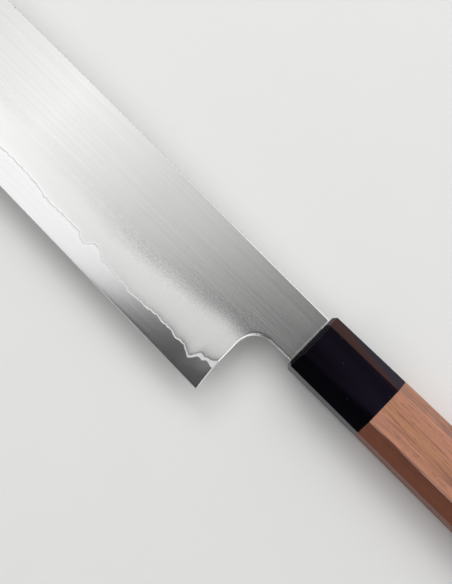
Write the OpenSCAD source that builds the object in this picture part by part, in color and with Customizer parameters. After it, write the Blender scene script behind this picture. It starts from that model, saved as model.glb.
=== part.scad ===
// Kiritsuke kitchen knife lying on its right side: a laminated blade with a hidden tang
// in an octagonal wooden handle. +X runs to the butt, +Y from the edge to the spine, +Z up.
// Sizes are taken from the handle's centre line, in the plane of the ferrule's front.

/* [Blade outline] */
// Length of the cutting edge, heel to tip, along X
blade_length = 210; // [150:1:270]
// Distance from the handle's centre line down to the heel
heel_drop = 39.4; // [34:0.1:46]
// Distance of the heel's corner in front of the ferrule
heel_setback = 16.5; // [14:0.1:24]
// Distance that the heel's back wall leans forward above the corner
heel_lean = 0.8; // [0:0.1:1.5]
// Distance from the handle's centre line up to the spine, at the ferrule
spine_height = 10; // [9:0.1:10.4]
// Rise of the spine towards the tip, per mm of length
spine_slope = 0.0136; // [0:0.0004:0.03]
// Distance from the handle's centre line down to the underside of the neck
neck_drop = 9.6; // [9:0.1:10.2]
// Radius of the hollow between the heel and the neck
choil_r = 8.5; // [6:0.5:12]
// Steady rise of the edge towards the tip, per mm of length
edge_slope = 0.028; // [0:0.001:0.035]
// Further rise of the edge at the tip, from its belly
belly_rise = 4.5; // [1:0.1:6]
// Angle of the clipped point against the handle's centre line
clip_angle = 43; // [32:1:50]
// Softening of the corner between the spine and the clipped point
clip_soften = 0.8; // [0.3:0.1:2]
// Height of the blunted tip
tip_flat = 0.6; // [0.4:0.1:1]

/* [Blade thickness] */
// Thickness of the spine at the ferrule
neck_t = 3.4; // [3:0.1:4.4]
// Thickness that the spine tapers to above the tip
tip_t = 1; // [0.8:0.1:1.6]
// Thickness of the cutting edge
edge_t = 0.1; // [0.06:0.01:0.16]
// Exponent of the convex bevel: 1 is a flat wedge, less is fuller
grind_power = 0.72; // [0.65:0.01:0.8]
// Rounding of the spine at the ferrule
spine_round_neck = 0.95; // [0.3:0.05:1]
// Rounding of the spine from the middle of the blade to the tip
spine_round_tip = 0.25; // [0.1:0.05:0.35]
// Length over which the rounding fades
round_fade = 100; // [60:5:130]

/* [Steel layers] */
// Share of the thickness that is core steel, at the edge's side
core_share_edge = 0.11; // [0.08:0.005:0.13]
// Share of the thickness that is core steel, at the spine
core_share_spine = 0.36; // [0.3:0.01:0.4]
// Thickness of each bond layer, as a share of the thickness
bond_share = 0.05; // [0.03:0.005:0.06]
// Width of the bright bond line that shows on each face
bond_line_w = 0.45; // [0.3:0.05:0.7]

/* [Tang] */
// Length of the tang behind the ferrule's front
tang_length = 92; // [76:1:98]
// Width of the tang at its shoulders
tang_w_front = 11; // [9:0.1:11.4]
// Width of the tang at its end
tang_w_end = 5.5; // [4:0.1:7]
// Thickness of the tang at its shoulders
tang_t_front = 2.5; // [2:0.1:2.7]
// Thickness of the tang at its end
tang_t_end = 1.8; // [1.5:0.1:2]
// Gap between the shoulders and the ferrule
shoulder_gap = 0.3; // [0.1:0.1:0.8]

/* [Handle] */
// Length of the ferrule
ferrule_length = 33; // [28:0.5:38]
// Length of the ferrule and the wooden body together
handle_length = 137; // [125:1:145]
// Height of the octagon, along Y, at the ferrule's front
handle_h_front = 23.3; // [22.8:0.1:26]
// Height of the octagon at the butt
handle_h_butt = 26.4; // [24:0.1:29]
// Thickness of the octagon, along Z, at the ferrule's front
handle_t_front = 18.6; // [17.5:0.1:20]
// Thickness of the octagon at the butt
handle_t_butt = 20.8; // [19:0.1:23]
// Leg of the octagon's corner facets at the ferrule's front
facet_leg_front = 4.7; // [4:0.1:5.5]
// Leg of the octagon's corner facets at the butt
facet_leg_butt = 5.3; // [4.5:0.1:6.5]
// Bevel round the ferrule's front
ferrule_bevel = 1.2; // [0.6:0.1:1.3]
// Bevel round the butt
butt_bevel = 1; // [0.5:0.1:2]

/* [Dowel, bores and glue] */
// Diameter of the dowel that joins ferrule and body
dowel_d = 14; // [13.6:0.1:14.6]
// Thickness of the solid wall at the ferrule's front
ferrule_wall = 8; // [6:0.5:10]
// Depth of the dowel's bore in the wooden body
dowel_depth = 25; // [18:1:30]
// Clearance round the dowel and round the glue in the bores
bore_clearance = 0.05; // [0.02:0.01:0.1]
// Glue gap at each end of the dowel
dowel_end_gap = 0.5; // [0.2:0.1:1]
// Clearance round the tang in the ferrule's slot and the dowel
slot_clearance = 0.3; // [0.15:0.05:0.4]
// Clearance round the tang's corners in its narrow bore
tang_bore_clearance = 0.5; // [0.3:0.1:0.8]
// Depth of the narrow bore past the end of the tang
tang_bore_spare = 4; // [2:0.5:6]
// Depth of the seal in the mouth of the ferrule's slot
seal_depth = 1.5; // [0.8:0.1:3]

/* [Hidden] */
$fn = 64;

heel_x = -heel_setback;
tip_x = heel_x - blade_length;
shoulder_x = -shoulder_gap;
wall_x = heel_x - heel_lean;

// The line between core and cladding on the left face, as far back from the heel as it was seen:
// distance in front of the heel, height above the edge
left_line = [
    [-17, 12.4], [0.6, 12.4], [2, 11.4], [3.6, 10.2], [5.6, 9.7], [7.4, 9.8], [8.4, 8.2], [9.2, 6.6],
    [11, 6.6], [13, 7.3], [18, 6.9], [20.6, 7.3], [28, 7.5], [31, 7], [36, 6.9], [39, 6.4],
    [42, 7], [48, 7.2], [51, 7.5], [53, 7.1], [55, 8.4], [57.4, 9.5], [59.6, 9.5], [61.6, 7.9],
    [63.6, 6.4], [67.6, 9], [74, 8.3], [81, 8.1], [87, 8.7], [95, 10.3], [104, 9.9]
];
// Beyond that, and all along the right face, the line wanders about its mean height
line_mean = 8.2;
line_swings = [[0.8, 41, 70], [0.55, 17, 200], [0.3, 9.5, 20]];
line_step = 4;
left_line_shift = 56;
right_line_shift = 150;
function wander(s) = line_mean + sum([for (w = line_swings) w[0] * sin(360 * s / w[1] + w[2])]);
function sum(v) = v * [for (i = v) 1];
seen_s = left_line[len(left_line) - 1][0];
far_s = blade_length + 2 * line_step;
left_points = concat(
    left_line, [for (s = [seen_s + line_step : line_step : far_s]) [s, wander(s + left_line_shift)]]
);
right_points = [
    for (s = [left_line[0][0] : line_step : far_s + line_step]) [s, wander(s + right_line_shift)]
];

// Outline of the blade, above and below
function edge_y(x) =
    let (s = max(0, heel_x - x))
    -heel_drop + edge_slope * s + belly_rise * pow(s / blade_length, 4);
function back_y(x) = spine_height - spine_slope * x;
function clip_y(x) = edge_y(tip_x) + tip_flat + (x - tip_x) * tan(clip_angle);
function spine_y(x) =
    let (a = back_y(x), b = clip_y(x))
    (a + b - sqrt(pow(a - b, 2) + pow(2 * clip_soften, 2))) / 2;
clip_x = tip_x + (back_y(tip_x) - clip_y(tip_x)) / (tan(clip_angle) + spine_slope);

// Half the thickness of the blade, of its core, and of its core with the bond layers
function spine_half(x) = (neck_t + (tip_t - neck_t) * x / tip_x) / 2;
function height_share(x, y) = (y - edge_y(x)) / (back_y(x) - edge_y(x));
function blade_half(x, y) =
    edge_t / 2 + (spine_half(x) - edge_t / 2) * pow(max(0, height_share(x, y)), grind_power);
function core_share(x, y) =
    core_share_edge + (core_share_spine - core_share_edge) * height_share(x, y);
function core_half(x, y) = spine_half(x) * core_share(x, y);
function bond_half(x, y) = spine_half(x) * (core_share(x, y) + bond_share);

// The cladding starts where there is this much of it above the line, on the clipped point
first_clad_height = 0.5;
search_step = 0.25;
function line_y(line, x) = edge_y(x) + lookup(heel_x - x, line);
clad_x = min([
    for (x = [tip_x : search_step : clip_x])
        if (spine_y(x) - max(line_y(left_points, x), line_y(right_points, x)) > first_clad_height) x
]);

// Places along the blade where its sections are drawn, from the tip to the ferrule
min_step = 0.5;
clip_steps = 8;
tip_places = [for (i = [0 : 3]) tip_x + (clad_x - min_step - tip_x) * i / 3];
line_places = sorted(concat(
    [for (p = left_line) heel_x - p[0]],
    [for (p = right_points) heel_x - p[0]],
    [for (i = [-clip_steps : clip_steps]) clip_x + i * clip_soften],
    [heel_x]
));
clad_places = spaced(concat([clad_x], [
    for (x = line_places) if (x > clad_x + min_step && x < shoulder_x - min_step) x
], [shoulder_x]));
function sorted(v) =
    len(v) < 2 ? v
    : let (m = v[floor(len(v) / 2)])
    concat(
        sorted([for (i = v) if (i < m) i]),
        [for (i = v) if (i == m) i],
        sorted([for (i = v) if (i > m) i])
    );
function spaced(v) = [
    for (i = [0 : len(v) - 1]) if (i == len(v) - 1 || i == 0 || v[i] - v[i - 1] > min_step / 2) v[i]
];

// Points of the sections, in the YZ plane at x, on the left side
low_shares = [0.1, 0.45];
face_shares = [0.2, 0.4, 0.6, 0.8];
arc_steps = 3;
function on_face(x, y) = [x, y, blade_half(x, y)];
function low_side(x, top) =
    let (e = edge_y(x))
    [for (f = concat([0], low_shares)) on_face(x, e + f * (top - e))];
function whole_side(x) =
    let (top = spine_y(x))
    concat(low_side(x, top), [for (f = [0.7, 0.85, 1]) on_face(x, edge_y(x) + f * (top - edge_y(x)))]);
function core_side(x, line) =
    let (top = spine_y(x), y = line_y(line, x) - bond_line_w)
    concat(low_side(x, y), [on_face(x, y), [x, y, core_half(x, y)], [x, top, core_half(x, top)]]);
function bond_section(x, line) =
    let (top = spine_y(x), y = line_y(line, x), low = y - bond_line_w)
    [
        [x, low, core_half(x, low)], on_face(x, low), on_face(x, y),
        [x, y, bond_half(x, y)], [x, top, bond_half(x, top)], [x, top, core_half(x, top)]
    ];
function spine_round(x) =
    let (fade = max(0, 1 + x / round_fade), top = spine_y(x))
    min(
        spine_round_tip + (spine_round_neck - spine_round_tip) * fade,
        0.9 * (blade_half(x, top) - bond_half(x, top))
    );
function clad_section(x, line) =
    let (top = spine_y(x), y = line_y(line, x), r = spine_round(x), end = top - r)
    concat(
        [[x, y, bond_half(x, y)], on_face(x, y)],
        [for (f = face_shares) on_face(x, y + f * (end - y))],
        [for (i = [0 : arc_steps]) let (a = 90 * i / arc_steps)
            [x, end + r * sin(a), blade_half(x, end) - r * (1 - cos(a))]],
        [[x, top, bond_half(x, top)]]
    );

// Turns a left-hand run of points over to the right, with a closed section's sense kept
function right_side(points) =
    [for (i = [len(points) - 1 : -1 : 0]) [points[i][0], points[i][1], -points[i][2]]];

// A closed solid through sections of equally many points. Every patch is split from its lower
// point nearer the tip to its higher point nearer the butt, so that neighbours fit face to face.
module skin(sections) {
    n = len(sections[0]);
    m = len(sections);
    polyhedron(
        points = [for (s = sections) each s],
        faces = concat(
            [[for (j = [n - 1 : -1 : 0]) j]],
            [for (i = [0 : m - 2], j = [0 : n - 1])
                let (k = (j + 1) % n, a = i * n + j, b = i * n + k, c = a + n, d = b + n)
                each (sections[i][k][1] >= sections[i][j][1]
                    ? [[a, d, c], [a, b, d]]
                    : [[a, b, c], [c, b, d]])],
            [[for (j = [0 : n - 1]) (m - 1) * n + j]]
        ),
        convexity = 6
    );
}

// Cuts a blade layer's hollow between the heel and the neck, with the heel's back wall
margin = 5;
module choil_cut() {
    below = heel_drop + margin;
    centre_y = -neck_drop - choil_r;
    lean_y = (centre_y - heel_drop) / 2;
    translate([0, 0, -neck_t])
        linear_extrude(height = 2 * neck_t) {
            translate([wall_x + choil_r, centre_y])
                circle(r = choil_r, $fn = 128);
            translate([wall_x + choil_r, centre_y])
                square([margin - wall_x - choil_r, choil_r]);
            polygon([
                [wall_x, centre_y], [wall_x, lean_y], [heel_x, -heel_drop], [heel_x, -below],
                [margin, -below], [margin, centre_y]
            ]);
        }
}

// The tang's width and thickness, and the levels of its layers, which are parallel to its faces
function along_tang(x) = (x - shoulder_x) / (tang_length - shoulder_x);
function tang_w(x) = tang_w_front + (tang_w_end - tang_w_front) * along_tang(x);
function tang_t(x) = tang_t_front + (tang_t_end - tang_t_front) * along_tang(x);
core_level = core_half(shoulder_x, 0) / tang_t_front;
bond_level = bond_half(shoulder_x, 0) / tang_t_front;

// A layer of the tang between two levels, each a share of the tang's thickness
module tang_layer(low, high) {
    skin([for (x = [shoulder_x, tang_length]) let (w = tang_w(x) / 2, t = tang_t(x)) [
        [x, -w, low * t], [x, -w, high * t], [x, w, high * t], [x, w, low * t]
    ]]);
}

module core_blade() {
    difference() {
        skin(concat(
            [for (x = tip_places) concat(whole_side(x), right_side(whole_side(x)))],
            [for (x = clad_places)
                concat(core_side(x, left_points), right_side(core_side(x, right_points)))]
        ));
        choil_cut();
    }
}

module bond_blade(line) {
    difference() {
        skin([for (x = clad_places) bond_section(x, line)]);
        choil_cut();
    }
}

module clad_blade(line) {
    difference() {
        skin([for (x = clad_places) clad_section(x, line)]);
        choil_cut();
    }
}

// Distance of the octagon's facets from its axis. Facet 0 faces the spine's side, 2 faces up.
function facet_reach(i, h, t, leg) =
    i % 4 == 0 ? h / 2
    : i % 4 == 2 ? t / 2
    : (h / 2 + t / 2 - leg) / sqrt(2);
function front_reach(i) = facet_reach(i, handle_h_front, handle_t_front, facet_leg_front);
function butt_reach(i) = facet_reach(i, handle_h_butt, handle_t_butt, facet_leg_butt);
function facet_slope(i) = (butt_reach(i) - front_reach(i)) / handle_length;
function reach_at(i, x) = front_reach(i) + facet_slope(i) * x;

// All that lies on the axis' side of a plane, which is square to facet i and climbs by slope
module inside_plane(i, reach, slope) {
    size = 2 * handle_length;
    rotate([45 * i, 0, 0])
        translate([0, reach, 0])
            rotate([0, 0, atan(slope)])
                translate([-size, -size, -size])
                    cube([2 * size, size, 2 * size]);
}

// A stretch of the tapered octagon
module octagon(x0, x1) {
    size = 2 * handle_length;
    intersection() {
        intersection_for (i = [0 : 7]) inside_plane(i, front_reach(i), facet_slope(i));
        translate([x0, -size / 2, -size / 2])
            cube([x1 - x0, size, size]);
    }
}

// Bores and slots inside the handle
dowel_x0 = ferrule_wall + dowel_end_gap;
dowel_x1 = ferrule_length + dowel_depth - dowel_end_gap;
bore_end_x = ferrule_length + dowel_depth;
tang_bore_end_x = tang_length + tang_bore_spare;
tang_bore_d = norm([tang_w(bore_end_x), tang_t(bore_end_x)]) + 2 * tang_bore_clearance;

module rod(x0, x1, d) {
    translate([x0, 0, 0])
        rotate([0, 90, 0])
            cylinder(h = x1 - x0, d = d);
}

module tang_slot(x0, x1) {
    w = tang_w_front + 2 * slot_clearance;
    t = tang_t_front + 2 * slot_clearance;
    translate([x0, -w / 2, -t / 2])
        cube([x1 - x0, w, t]);
}

// Moves the model from the handle's axis to its resting frame: the origin is under its middle
lowest_x = handle_length - butt_bevel;
centre_shift = [
    -(tip_x + handle_length) / 2,
    (heel_drop - reach_at(0, lowest_x)) / 2,
    reach_at(2, lowest_x)
];
module at_rest() {
    translate(centre_shift)
        children();
}

module core_steel() {
    color("#8d9093") at_rest() {
        core_blade();
        tang_layer(-core_level, core_level);
    }
}

module left_bond_layer() {
    color("#d8dadb") at_rest() {
        bond_blade(left_points);
        tang_layer(core_level, bond_level);
    }
}

module right_bond_layer() {
    color("#d8dadb") at_rest() mirror([0, 0, 1]) {
        bond_blade(right_points);
        tang_layer(core_level, bond_level);
    }
}

module left_cladding() {
    color("#b6b8ba") at_rest() {
        clad_blade(left_points);
        tang_layer(bond_level, 0.5);
    }
}

module right_cladding() {
    color("#b6b8ba") at_rest() mirror([0, 0, 1]) {
        clad_blade(right_points);
        tang_layer(bond_level, 0.5);
    }
}

module ferrule() {
    color("#1b1719") at_rest() difference() {
        intersection() {
            octagon(0, ferrule_length);
            intersection_for (i = [0 : 7])
                inside_plane(i, reach_at(i, ferrule_bevel) - ferrule_bevel, 1);
        }
        tang_slot(-margin, ferrule_length);
        rod(ferrule_wall, ferrule_length + margin, dowel_d + 2 * bore_clearance);
    }
}

module handle_body() {
    color("#a5714c") at_rest() difference() {
        intersection() {
            octagon(ferrule_length, handle_length);
            intersection_for (i = [0 : 7])
                inside_plane(i, reach_at(i, lowest_x) + lowest_x, -1);
        }
        rod(ferrule_length - margin, bore_end_x, dowel_d + 2 * bore_clearance);
        rod(bore_end_x - margin, tang_bore_end_x, tang_bore_d);
    }
}

module dowel() {
    color("#c8a676") at_rest() difference() {
        rod(dowel_x0, dowel_x1, dowel_d);
        tang_slot(dowel_x0 - margin, dowel_x1 + margin);
    }
}

module tang_adhesive() {
    color("#cdbd8e") at_rest() difference() {
        union() {
            tang_slot(seal_depth, dowel_x1);
            rod(ferrule_wall, dowel_x0, dowel_d);
            rod(dowel_x1, bore_end_x, dowel_d);
            rod(bore_end_x, tang_bore_end_x, tang_bore_d - 2 * bore_clearance);
        }
        tang_layer(-0.5, 0.5);
    }
}

module slot_seal() {
    color("#2c2623") at_rest() difference() {
        tang_slot(0, seal_depth);
        tang_layer(-0.5, 0.5);
    }
}

core_steel();
left_bond_layer();
right_bond_layer();
left_cladding();
right_cladding();
ferrule();
handle_body();
dowel();
tang_adhesive();
slot_seal();
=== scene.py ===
import math
from collections import namedtuple

import bpy
import numpy as np
from bpy.props import FloatProperty, FloatVectorProperty, IntProperty, PointerProperty
from mathutils import Matrix, Vector
from mathutils.geometry import delaunay_2d_cdt


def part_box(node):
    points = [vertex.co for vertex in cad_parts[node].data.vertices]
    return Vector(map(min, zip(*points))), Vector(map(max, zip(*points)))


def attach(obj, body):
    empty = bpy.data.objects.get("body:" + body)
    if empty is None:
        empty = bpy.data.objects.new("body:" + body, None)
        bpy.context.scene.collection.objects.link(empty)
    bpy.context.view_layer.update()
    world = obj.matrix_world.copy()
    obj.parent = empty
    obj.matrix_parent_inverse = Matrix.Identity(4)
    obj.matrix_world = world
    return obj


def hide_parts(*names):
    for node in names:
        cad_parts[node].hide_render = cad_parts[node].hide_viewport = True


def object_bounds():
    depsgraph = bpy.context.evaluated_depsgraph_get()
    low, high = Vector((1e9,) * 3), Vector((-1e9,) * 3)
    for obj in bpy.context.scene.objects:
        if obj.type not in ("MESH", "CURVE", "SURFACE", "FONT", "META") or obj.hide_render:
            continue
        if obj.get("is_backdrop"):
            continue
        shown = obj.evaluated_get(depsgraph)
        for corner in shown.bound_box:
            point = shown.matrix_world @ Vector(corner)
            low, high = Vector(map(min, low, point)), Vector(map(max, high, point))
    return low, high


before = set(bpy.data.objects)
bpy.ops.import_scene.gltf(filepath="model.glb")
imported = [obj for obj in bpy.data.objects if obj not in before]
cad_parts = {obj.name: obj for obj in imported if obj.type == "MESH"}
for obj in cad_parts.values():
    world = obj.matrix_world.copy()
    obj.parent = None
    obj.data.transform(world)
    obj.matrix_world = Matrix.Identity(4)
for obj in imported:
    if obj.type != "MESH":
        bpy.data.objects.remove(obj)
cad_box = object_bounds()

bl_info = {
    "name": "Kiritsuke knife",
    "version": (1, 0, 0),
    "blender": (4, 5, 0),
    "location": "View3D > Sidebar > Knife",
    "description": "Makes a laminated kitchen knife with an octagonal handle, and a plain studio for it",
    "category": "Add Mesh",
}

# Units: shapes are worked out in millimetres from the handle's axis and the ferrule's front,
# with +x to the butt, +y to the spine and +z to the left face, and are then placed in metres
MM = 0.001


def linear(code):
    """Linear colour of an sRGB hex value."""
    parts = [int(code[i:i + 2], 16) / 255 for i in (1, 3, 5)]
    return [p / 12.92 if p <= 0.04045 else ((p + 0.055) / 1.055) ** 2.4 for p in parts]


def length(name, text, mm):
    """A size in metres, written in millimetres."""
    return FloatProperty(name=name, description=text, default=mm * MM, unit="LENGTH", precision=5)


def share(name, text, value):
    """A plain ratio."""
    return FloatProperty(name=name, description=text, default=value, min=0, soft_max=1)


def colour(name, text, code):
    """A colour, written as an sRGB hex value."""
    return FloatVectorProperty(
        name=name, description=text, default=linear(code), size=3, subtype="COLOR", min=0, max=1
    )


def power(name, text, value):
    """A lamp's strength, as the brightness of its panel: 1 is a white sheet in plain light."""
    return FloatProperty(name=name, description=text, default=value, min=0, soft_max=10)


class KnifeBladeSizes(bpy.types.PropertyGroup):
    blade_length: length("Blade length", "Cutting edge, heel to tip", 210)
    heel_drop: length("Heel drop", "Handle's axis down to the heel", 39.4)
    heel_setback: length("Heel setback", "Heel's corner in front of the ferrule", 16.5)
    heel_lean: length("Heel lean", "How far the heel's back wall leans forward", 0.8)
    spine_height: length("Spine height", "Handle's axis up to the spine, at the ferrule", 10)
    spine_slope: share("Spine slope", "Rise of the spine towards the tip", 0.0136)
    neck_drop: length("Neck drop", "Handle's axis down to the neck's underside", 9.6)
    choil_r: length("Choil radius", "Radius of the hollow between heel and neck", 8.5)
    edge_slope: share("Edge slope", "Steady rise of the edge towards the tip", 0.028)
    belly_rise: length("Belly rise", "Further rise of the edge at the tip", 4.5)
    clip_angle: FloatProperty(
        name="Clip angle", description="Angle of the clipped point", default=math.radians(43),
        subtype="ANGLE",
    )
    clip_soften: length("Clip softening", "Softening of the corner above the clipped point", 0.8)
    tip_flat: length("Tip flat", "Height of the blunted tip", 0.6)
    neck_t: length("Neck thickness", "Thickness of the spine at the ferrule", 3.4)
    tip_t: length("Tip thickness", "Thickness of the spine above the tip", 1)
    edge_t: length("Edge thickness", "Thickness behind the sharpened bevel", 0.1)
    grind_power: share("Grind power", "1 is a flat wedge, less is fuller", 0.72)
    spine_round_neck: length("Spine rounding, neck", "Rounding of the spine at the ferrule", 1.12)
    spine_round_tip: length("Spine rounding, tip", "Rounding of the spine towards the tip", 0.25)
    round_fade: length("Rounding fade", "Length over which the spine's rounding fades", 100)
    core_share_edge: share("Core share, edge", "Share of the thickness that is core", 0.11)
    core_share_spine: share("Core share, spine", "Share of the thickness that is core", 0.36)
    bond_share: share("Bond share", "Share of the thickness in each bond layer", 0.05)
    bond_width: length("Bond line width", "Width of the bright line on each face", 0.54)
    bevel_height: length("Sharpened bevel", "Height of the bevel along the edge", 0.26)
    choil_round: length("Choil rounding", "Width of the polished rounding beside the notch", 0.8)
    choil_round_more: length("Choil rounding, corner", "Extra width of it in the notch's corner", 0.9)
    end_lip: length("End lip", "Width of the unground lip in front of the ferrule", 0.4)
    end_rise: share("End lip's rise", "Slope of the lip, up to the ferrule", 0.03)
    haze_height: length("Haze height", "Top of the stoned haze above the edge, at the heel", 25.4)
    haze_slope: share("Haze slope", "Fall of the haze's top towards the tip", 0.14)
    haze_low: length("Haze height, low", "Least height of the haze's top above the edge", 19)
    haze_dip: share("Haze's dip", "Fall of the haze's top towards the notch", 0.25)
    tang_length: length("Tang length", "Tang behind the ferrule's front", 92)
    tang_w_front: length("Tang width, front", "Width at the shoulders", 11)
    tang_w_end: length("Tang width, end", "Width at the end", 5.5)
    tang_t_front: length("Tang thickness, front", "Thickness at the shoulders", 2.5)
    tang_t_end: length("Tang thickness, end", "Thickness at the end", 1.8)
    shoulder_gap: length("Shoulder gap", "Gap between shoulders and ferrule", 0.3)


class KnifeHandleSizes(bpy.types.PropertyGroup):
    height_front: length("Height, front", "Height of the octagon at the ferrule's front", 23.3)
    height_butt: length("Height, butt", "Height of the octagon at the butt", 26.4)
    thick_front: length("Thickness, front", "Thickness of the octagon at the ferrule's front", 18.6)
    thick_butt: length("Thickness, butt", "Thickness of the octagon at the butt", 20.8)
    facet_leg: length("Corner facet", "Leg of the corner facets at the ferrule's front", 4.7)
    arris_radius: length("Arris radius", "Rounding along the octagon's arrises", 0.45)
    arris_steps: IntProperty(name="Arris steps", description="Faces round each arris", default=6, min=1)
    stations: IntProperty(name="Stations", description="Sections along each part", default=61, min=9)
    softness: length("Bevel softening", "Softening where a bevel meets the facets", 0.12)
    ferrule_bevel: length("Ferrule bevel", "Bevel round the ferrule's front", 1.2)
    butt_bevel: length("Butt bevel", "Bevel round the butt", 1)
    dowel_bore: length("Dowel bore", "Diameter of the bore for the dowel", 14.1)
    dowel_depth: length("Bore depth", "Depth of the dowel's bore in the wood", 25)
    ferrule_wall: length("Ferrule wall", "Solid wall at the ferrule's front", 8)
    slot_width: length("Slot width", "Height of the slot for the tang", 11.6)
    slot_thick: length("Slot thickness", "Thickness of the slot for the tang", 3.1)
    tang_bore: length("Tang bore", "Diameter of the narrow bore for the tang", 8.894)
    tang_bore_end: length("Tang bore end", "End of the narrow bore behind the ferrule's front", 96)


class KnifeFinishes(bpy.types.PropertyGroup):
    cladding: colour("Cladding", "Soft steel, ground and stoned", "#E2E2E1")
    # Painted shade: the darker colour that the cladding above the haze is multiplied by, away from its
    # brightest stretch
    cladding_tint: colour("Cladding's tint", "What dulls it where it is ground coarser", "#E1E1E1")
    core: colour("Core", "Hard steel, finely polished", "#D9D9D9")
    bond: colour("Bond layer", "Bright layer between core and cladding", "#E4E4E4")
    horn: colour("Horn", "Black polished horn", "#0C0911")
    horn_streak: colour("Horn streak", "Brown streak in the horn", "#3A1608")
    horn_dust: colour("Horn dust", "Specks caught in the polish", "#4A4552")
    wood_light: colour("Walnut, light", "Light early wood", "#C4876F")
    wood_warm: colour("Walnut, warm", "Warm heartwood", "#B77F5B")
    wood_dark: colour("Walnut, dark", "Purple-grey late wood", "#8A6056")
    wood_vein: colour("Walnut, veins", "Dark veins along the growth", "#6E4438")
    wood_pore: colour("Walnut, pores", "Open pores", "#4A2A1E")
    # Lower arris colour: partly worn, raised fibres, partly a painted highlight
    wood_raised: colour("Walnut, raised fibres", "Fibres raised along the lower arris", "#E2C3B0")
    # Underside colour: partly darker red heartwood, partly painted shade
    wood_corner: colour("Walnut, corner", "Red-brown streak at the lower corner", "#6A3420")
    dowel: colour("Dowel", "Bare hardwood", "#CFA877")
    resin: colour("Resin", "Cured glue", "#C9B67E")
    seal: colour("Seal", "Dark wax and resin", "#2A231F")


class KnifeStudio(bpy.types.PropertyGroup):
    floor: colour("Floor", "Plain pale floor", "#EDEDEC")
    pale_wall: colour("Pale walls", "Walls beyond the spine and the handle", "#F0F0F0")
    dim_wall: colour("Dim walls", "The rest of the room", "#303030")
    tip_power: power("Tip panel", "Brightness of the large panel above the blade", 1.29)
    spine_power: power("Spine panel", "Brightness of the panel beyond the spine", 1.3)
    butt_power: power("Butt panel", "Brightness of the panel beyond the handle", 1.3)
    edge_power: power("Edge panel", "Brightness of the panel beyond the edge", 1.35)
    key_power: power("Key lamp", "Brightness of the small lamp beyond the tip", 3.9)
    camera_place: FloatVectorProperty(
        name="Camera", description="The camera's place from the ferrule's front, in metres",
        default=(-0.00168, -0.09115, 0.48796), size=3, subtype="TRANSLATION",
    )
    camera_forward: FloatVectorProperty(
        name="Camera aim", description="Direction in which the camera looks",
        default=(-0.061904, 0.167376, -0.983948), size=3, subtype="DIRECTION",
    )
    camera_up: FloatVectorProperty(
        name="Camera up", description="Direction that is up in the picture",
        default=(-0.695965, 0.699387, 0.162756), size=3, subtype="DIRECTION",
    )
    lens: FloatProperty(
        name="Lens", description="Focal length on a 36 mm sensor, in mm", default=88.98, min=1,
    )


# Where the handle's axis meets the plane of the ferrule's front, in the frame of the part
ferrule_low, ferrule_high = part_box("ferrule")
AXIS = Vector((
    ferrule_low.x, (ferrule_low.y + ferrule_high.y) / 2, (ferrule_low.z + ferrule_high.z) / 2
))
FERRULE_LENGTH = ferrule_high.x - ferrule_low.x
HANDLE_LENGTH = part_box("handle_body")[1].x - ferrule_low.x


# Settings that many nodes share: a ramp with soft ends, two colours mixed, and one times another
SOFT_RAMP = {"interpolation_type": "SMOOTHSTEP"}
BLEND = {"data_type": "RGBA"}
TINT = {"data_type": "RGBA", "blend_type": "MULTIPLY"}


def add(tree, kind, settings=None, inputs=None):
    """Adds a node with its settings, and sets or links its inputs."""
    node = tree.nodes.new(kind)
    for name, value in (settings or {}).items():
        setattr(node, name, value)
    for key, value in (inputs or {}).items():
        if isinstance(value, bpy.types.NodeSocket):
            tree.links.new(value, node.inputs[key])
        else:
            node.inputs[key].default_value = value
    return node


def formula(tree, steps, known):
    """Adds math nodes: each step is its name, its operation and its values, by name or number.

    A step may take over the name of a value that it works on.
    """
    for name, operation, *values in steps:
        node = add(
            tree, "ShaderNodeMath", {"operation": operation},
            {i: known.get(v, v) if isinstance(v, str) else v for i, v in enumerate(values)},
        )
        known[name] = node.outputs[0]
    return known


def settings_of(group):
    """A group's sizes as numbers, lengths in millimetres."""
    sizes = {}
    for name in group.__annotations__:
        is_length = getattr(group.bl_rna.properties[name], "unit", "") == "LENGTH"
        sizes[name] = getattr(group, name) / MM if is_length else getattr(group, name)
    return sizes


# Bond line of the left face: distance in front of the heel, height above the edge
LEFT_LINE = [
    (-17, 12.4), (0.6, 12.4), (2, 11.4), (3.6, 10.4), (5.6, 9.8), (7.4, 10.1), (8.3, 8.3), (9.1, 6.5),
    (10.8, 6.5), (12, 7.2), (13.4, 8.1), (15, 8), (18, 7.6), (19.5, 8.2), (21, 8.4), (23, 8.1),
    (28, 8.3), (30, 7.8), (33, 7.5), (37, 7.3), (39, 6.9), (42, 7.5), (45, 7.8), (48.5, 7.6),
    (51, 8.2), (53, 7.5), (54.3, 7.7), (56, 9.3), (58.3, 10.2), (60, 9.5), (61.6, 7.9), (63.2, 7.2),
    (64.5, 7.5), (66.4, 9.1), (70, 8.9), (75, 9), (79, 8.5), (84, 8.8), (88, 9.6), (95, 9.9), (104, 9.8),
]
# Widening of the bond line towards the heel: distance in front of the heel, extra width
LEFT_WIDENING = [
    (0, 2.8), (1.5, 2.4), (3.1, 0.5), (4.5, 0.6), (5.1, 1.1), (6.3, 0.9), (7.4, 1.3), (8.2, 1.2),
    (9, 0.4), (10, 0),
]
RIGHT_WIDENING = [(0, 1.4), (2, 1.1), (3.5, 0.3), (5, 0.6), (6.5, 0)]
# Beyond what is given, a line wanders: swing, wavelength and phase of each wave, in mm and degrees
LINE_MEAN = 8.2
LINE_WAVES = [(0.8, 41, 70), (0.55, 17, 200), (0.3, 9.5, 20)]
WIDTH_WAVES = [(0.08, 7.3, 0), (0.06, 3.1, 90)]
# Small jags along both lines
JAG_WAVES = [(0.11, 3.7, 30), (0.09, 2.3, 160), (0.07, 1.5, 80)]
# Step along the lines, doubled beyond a stretch in front of the heel
LINE_STEP = 0.35
FINE_REACH = 110
# Where the two faces start on the waves
LEFT_SHIFT = 56
RIGHT_SHIFT = 150


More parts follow.
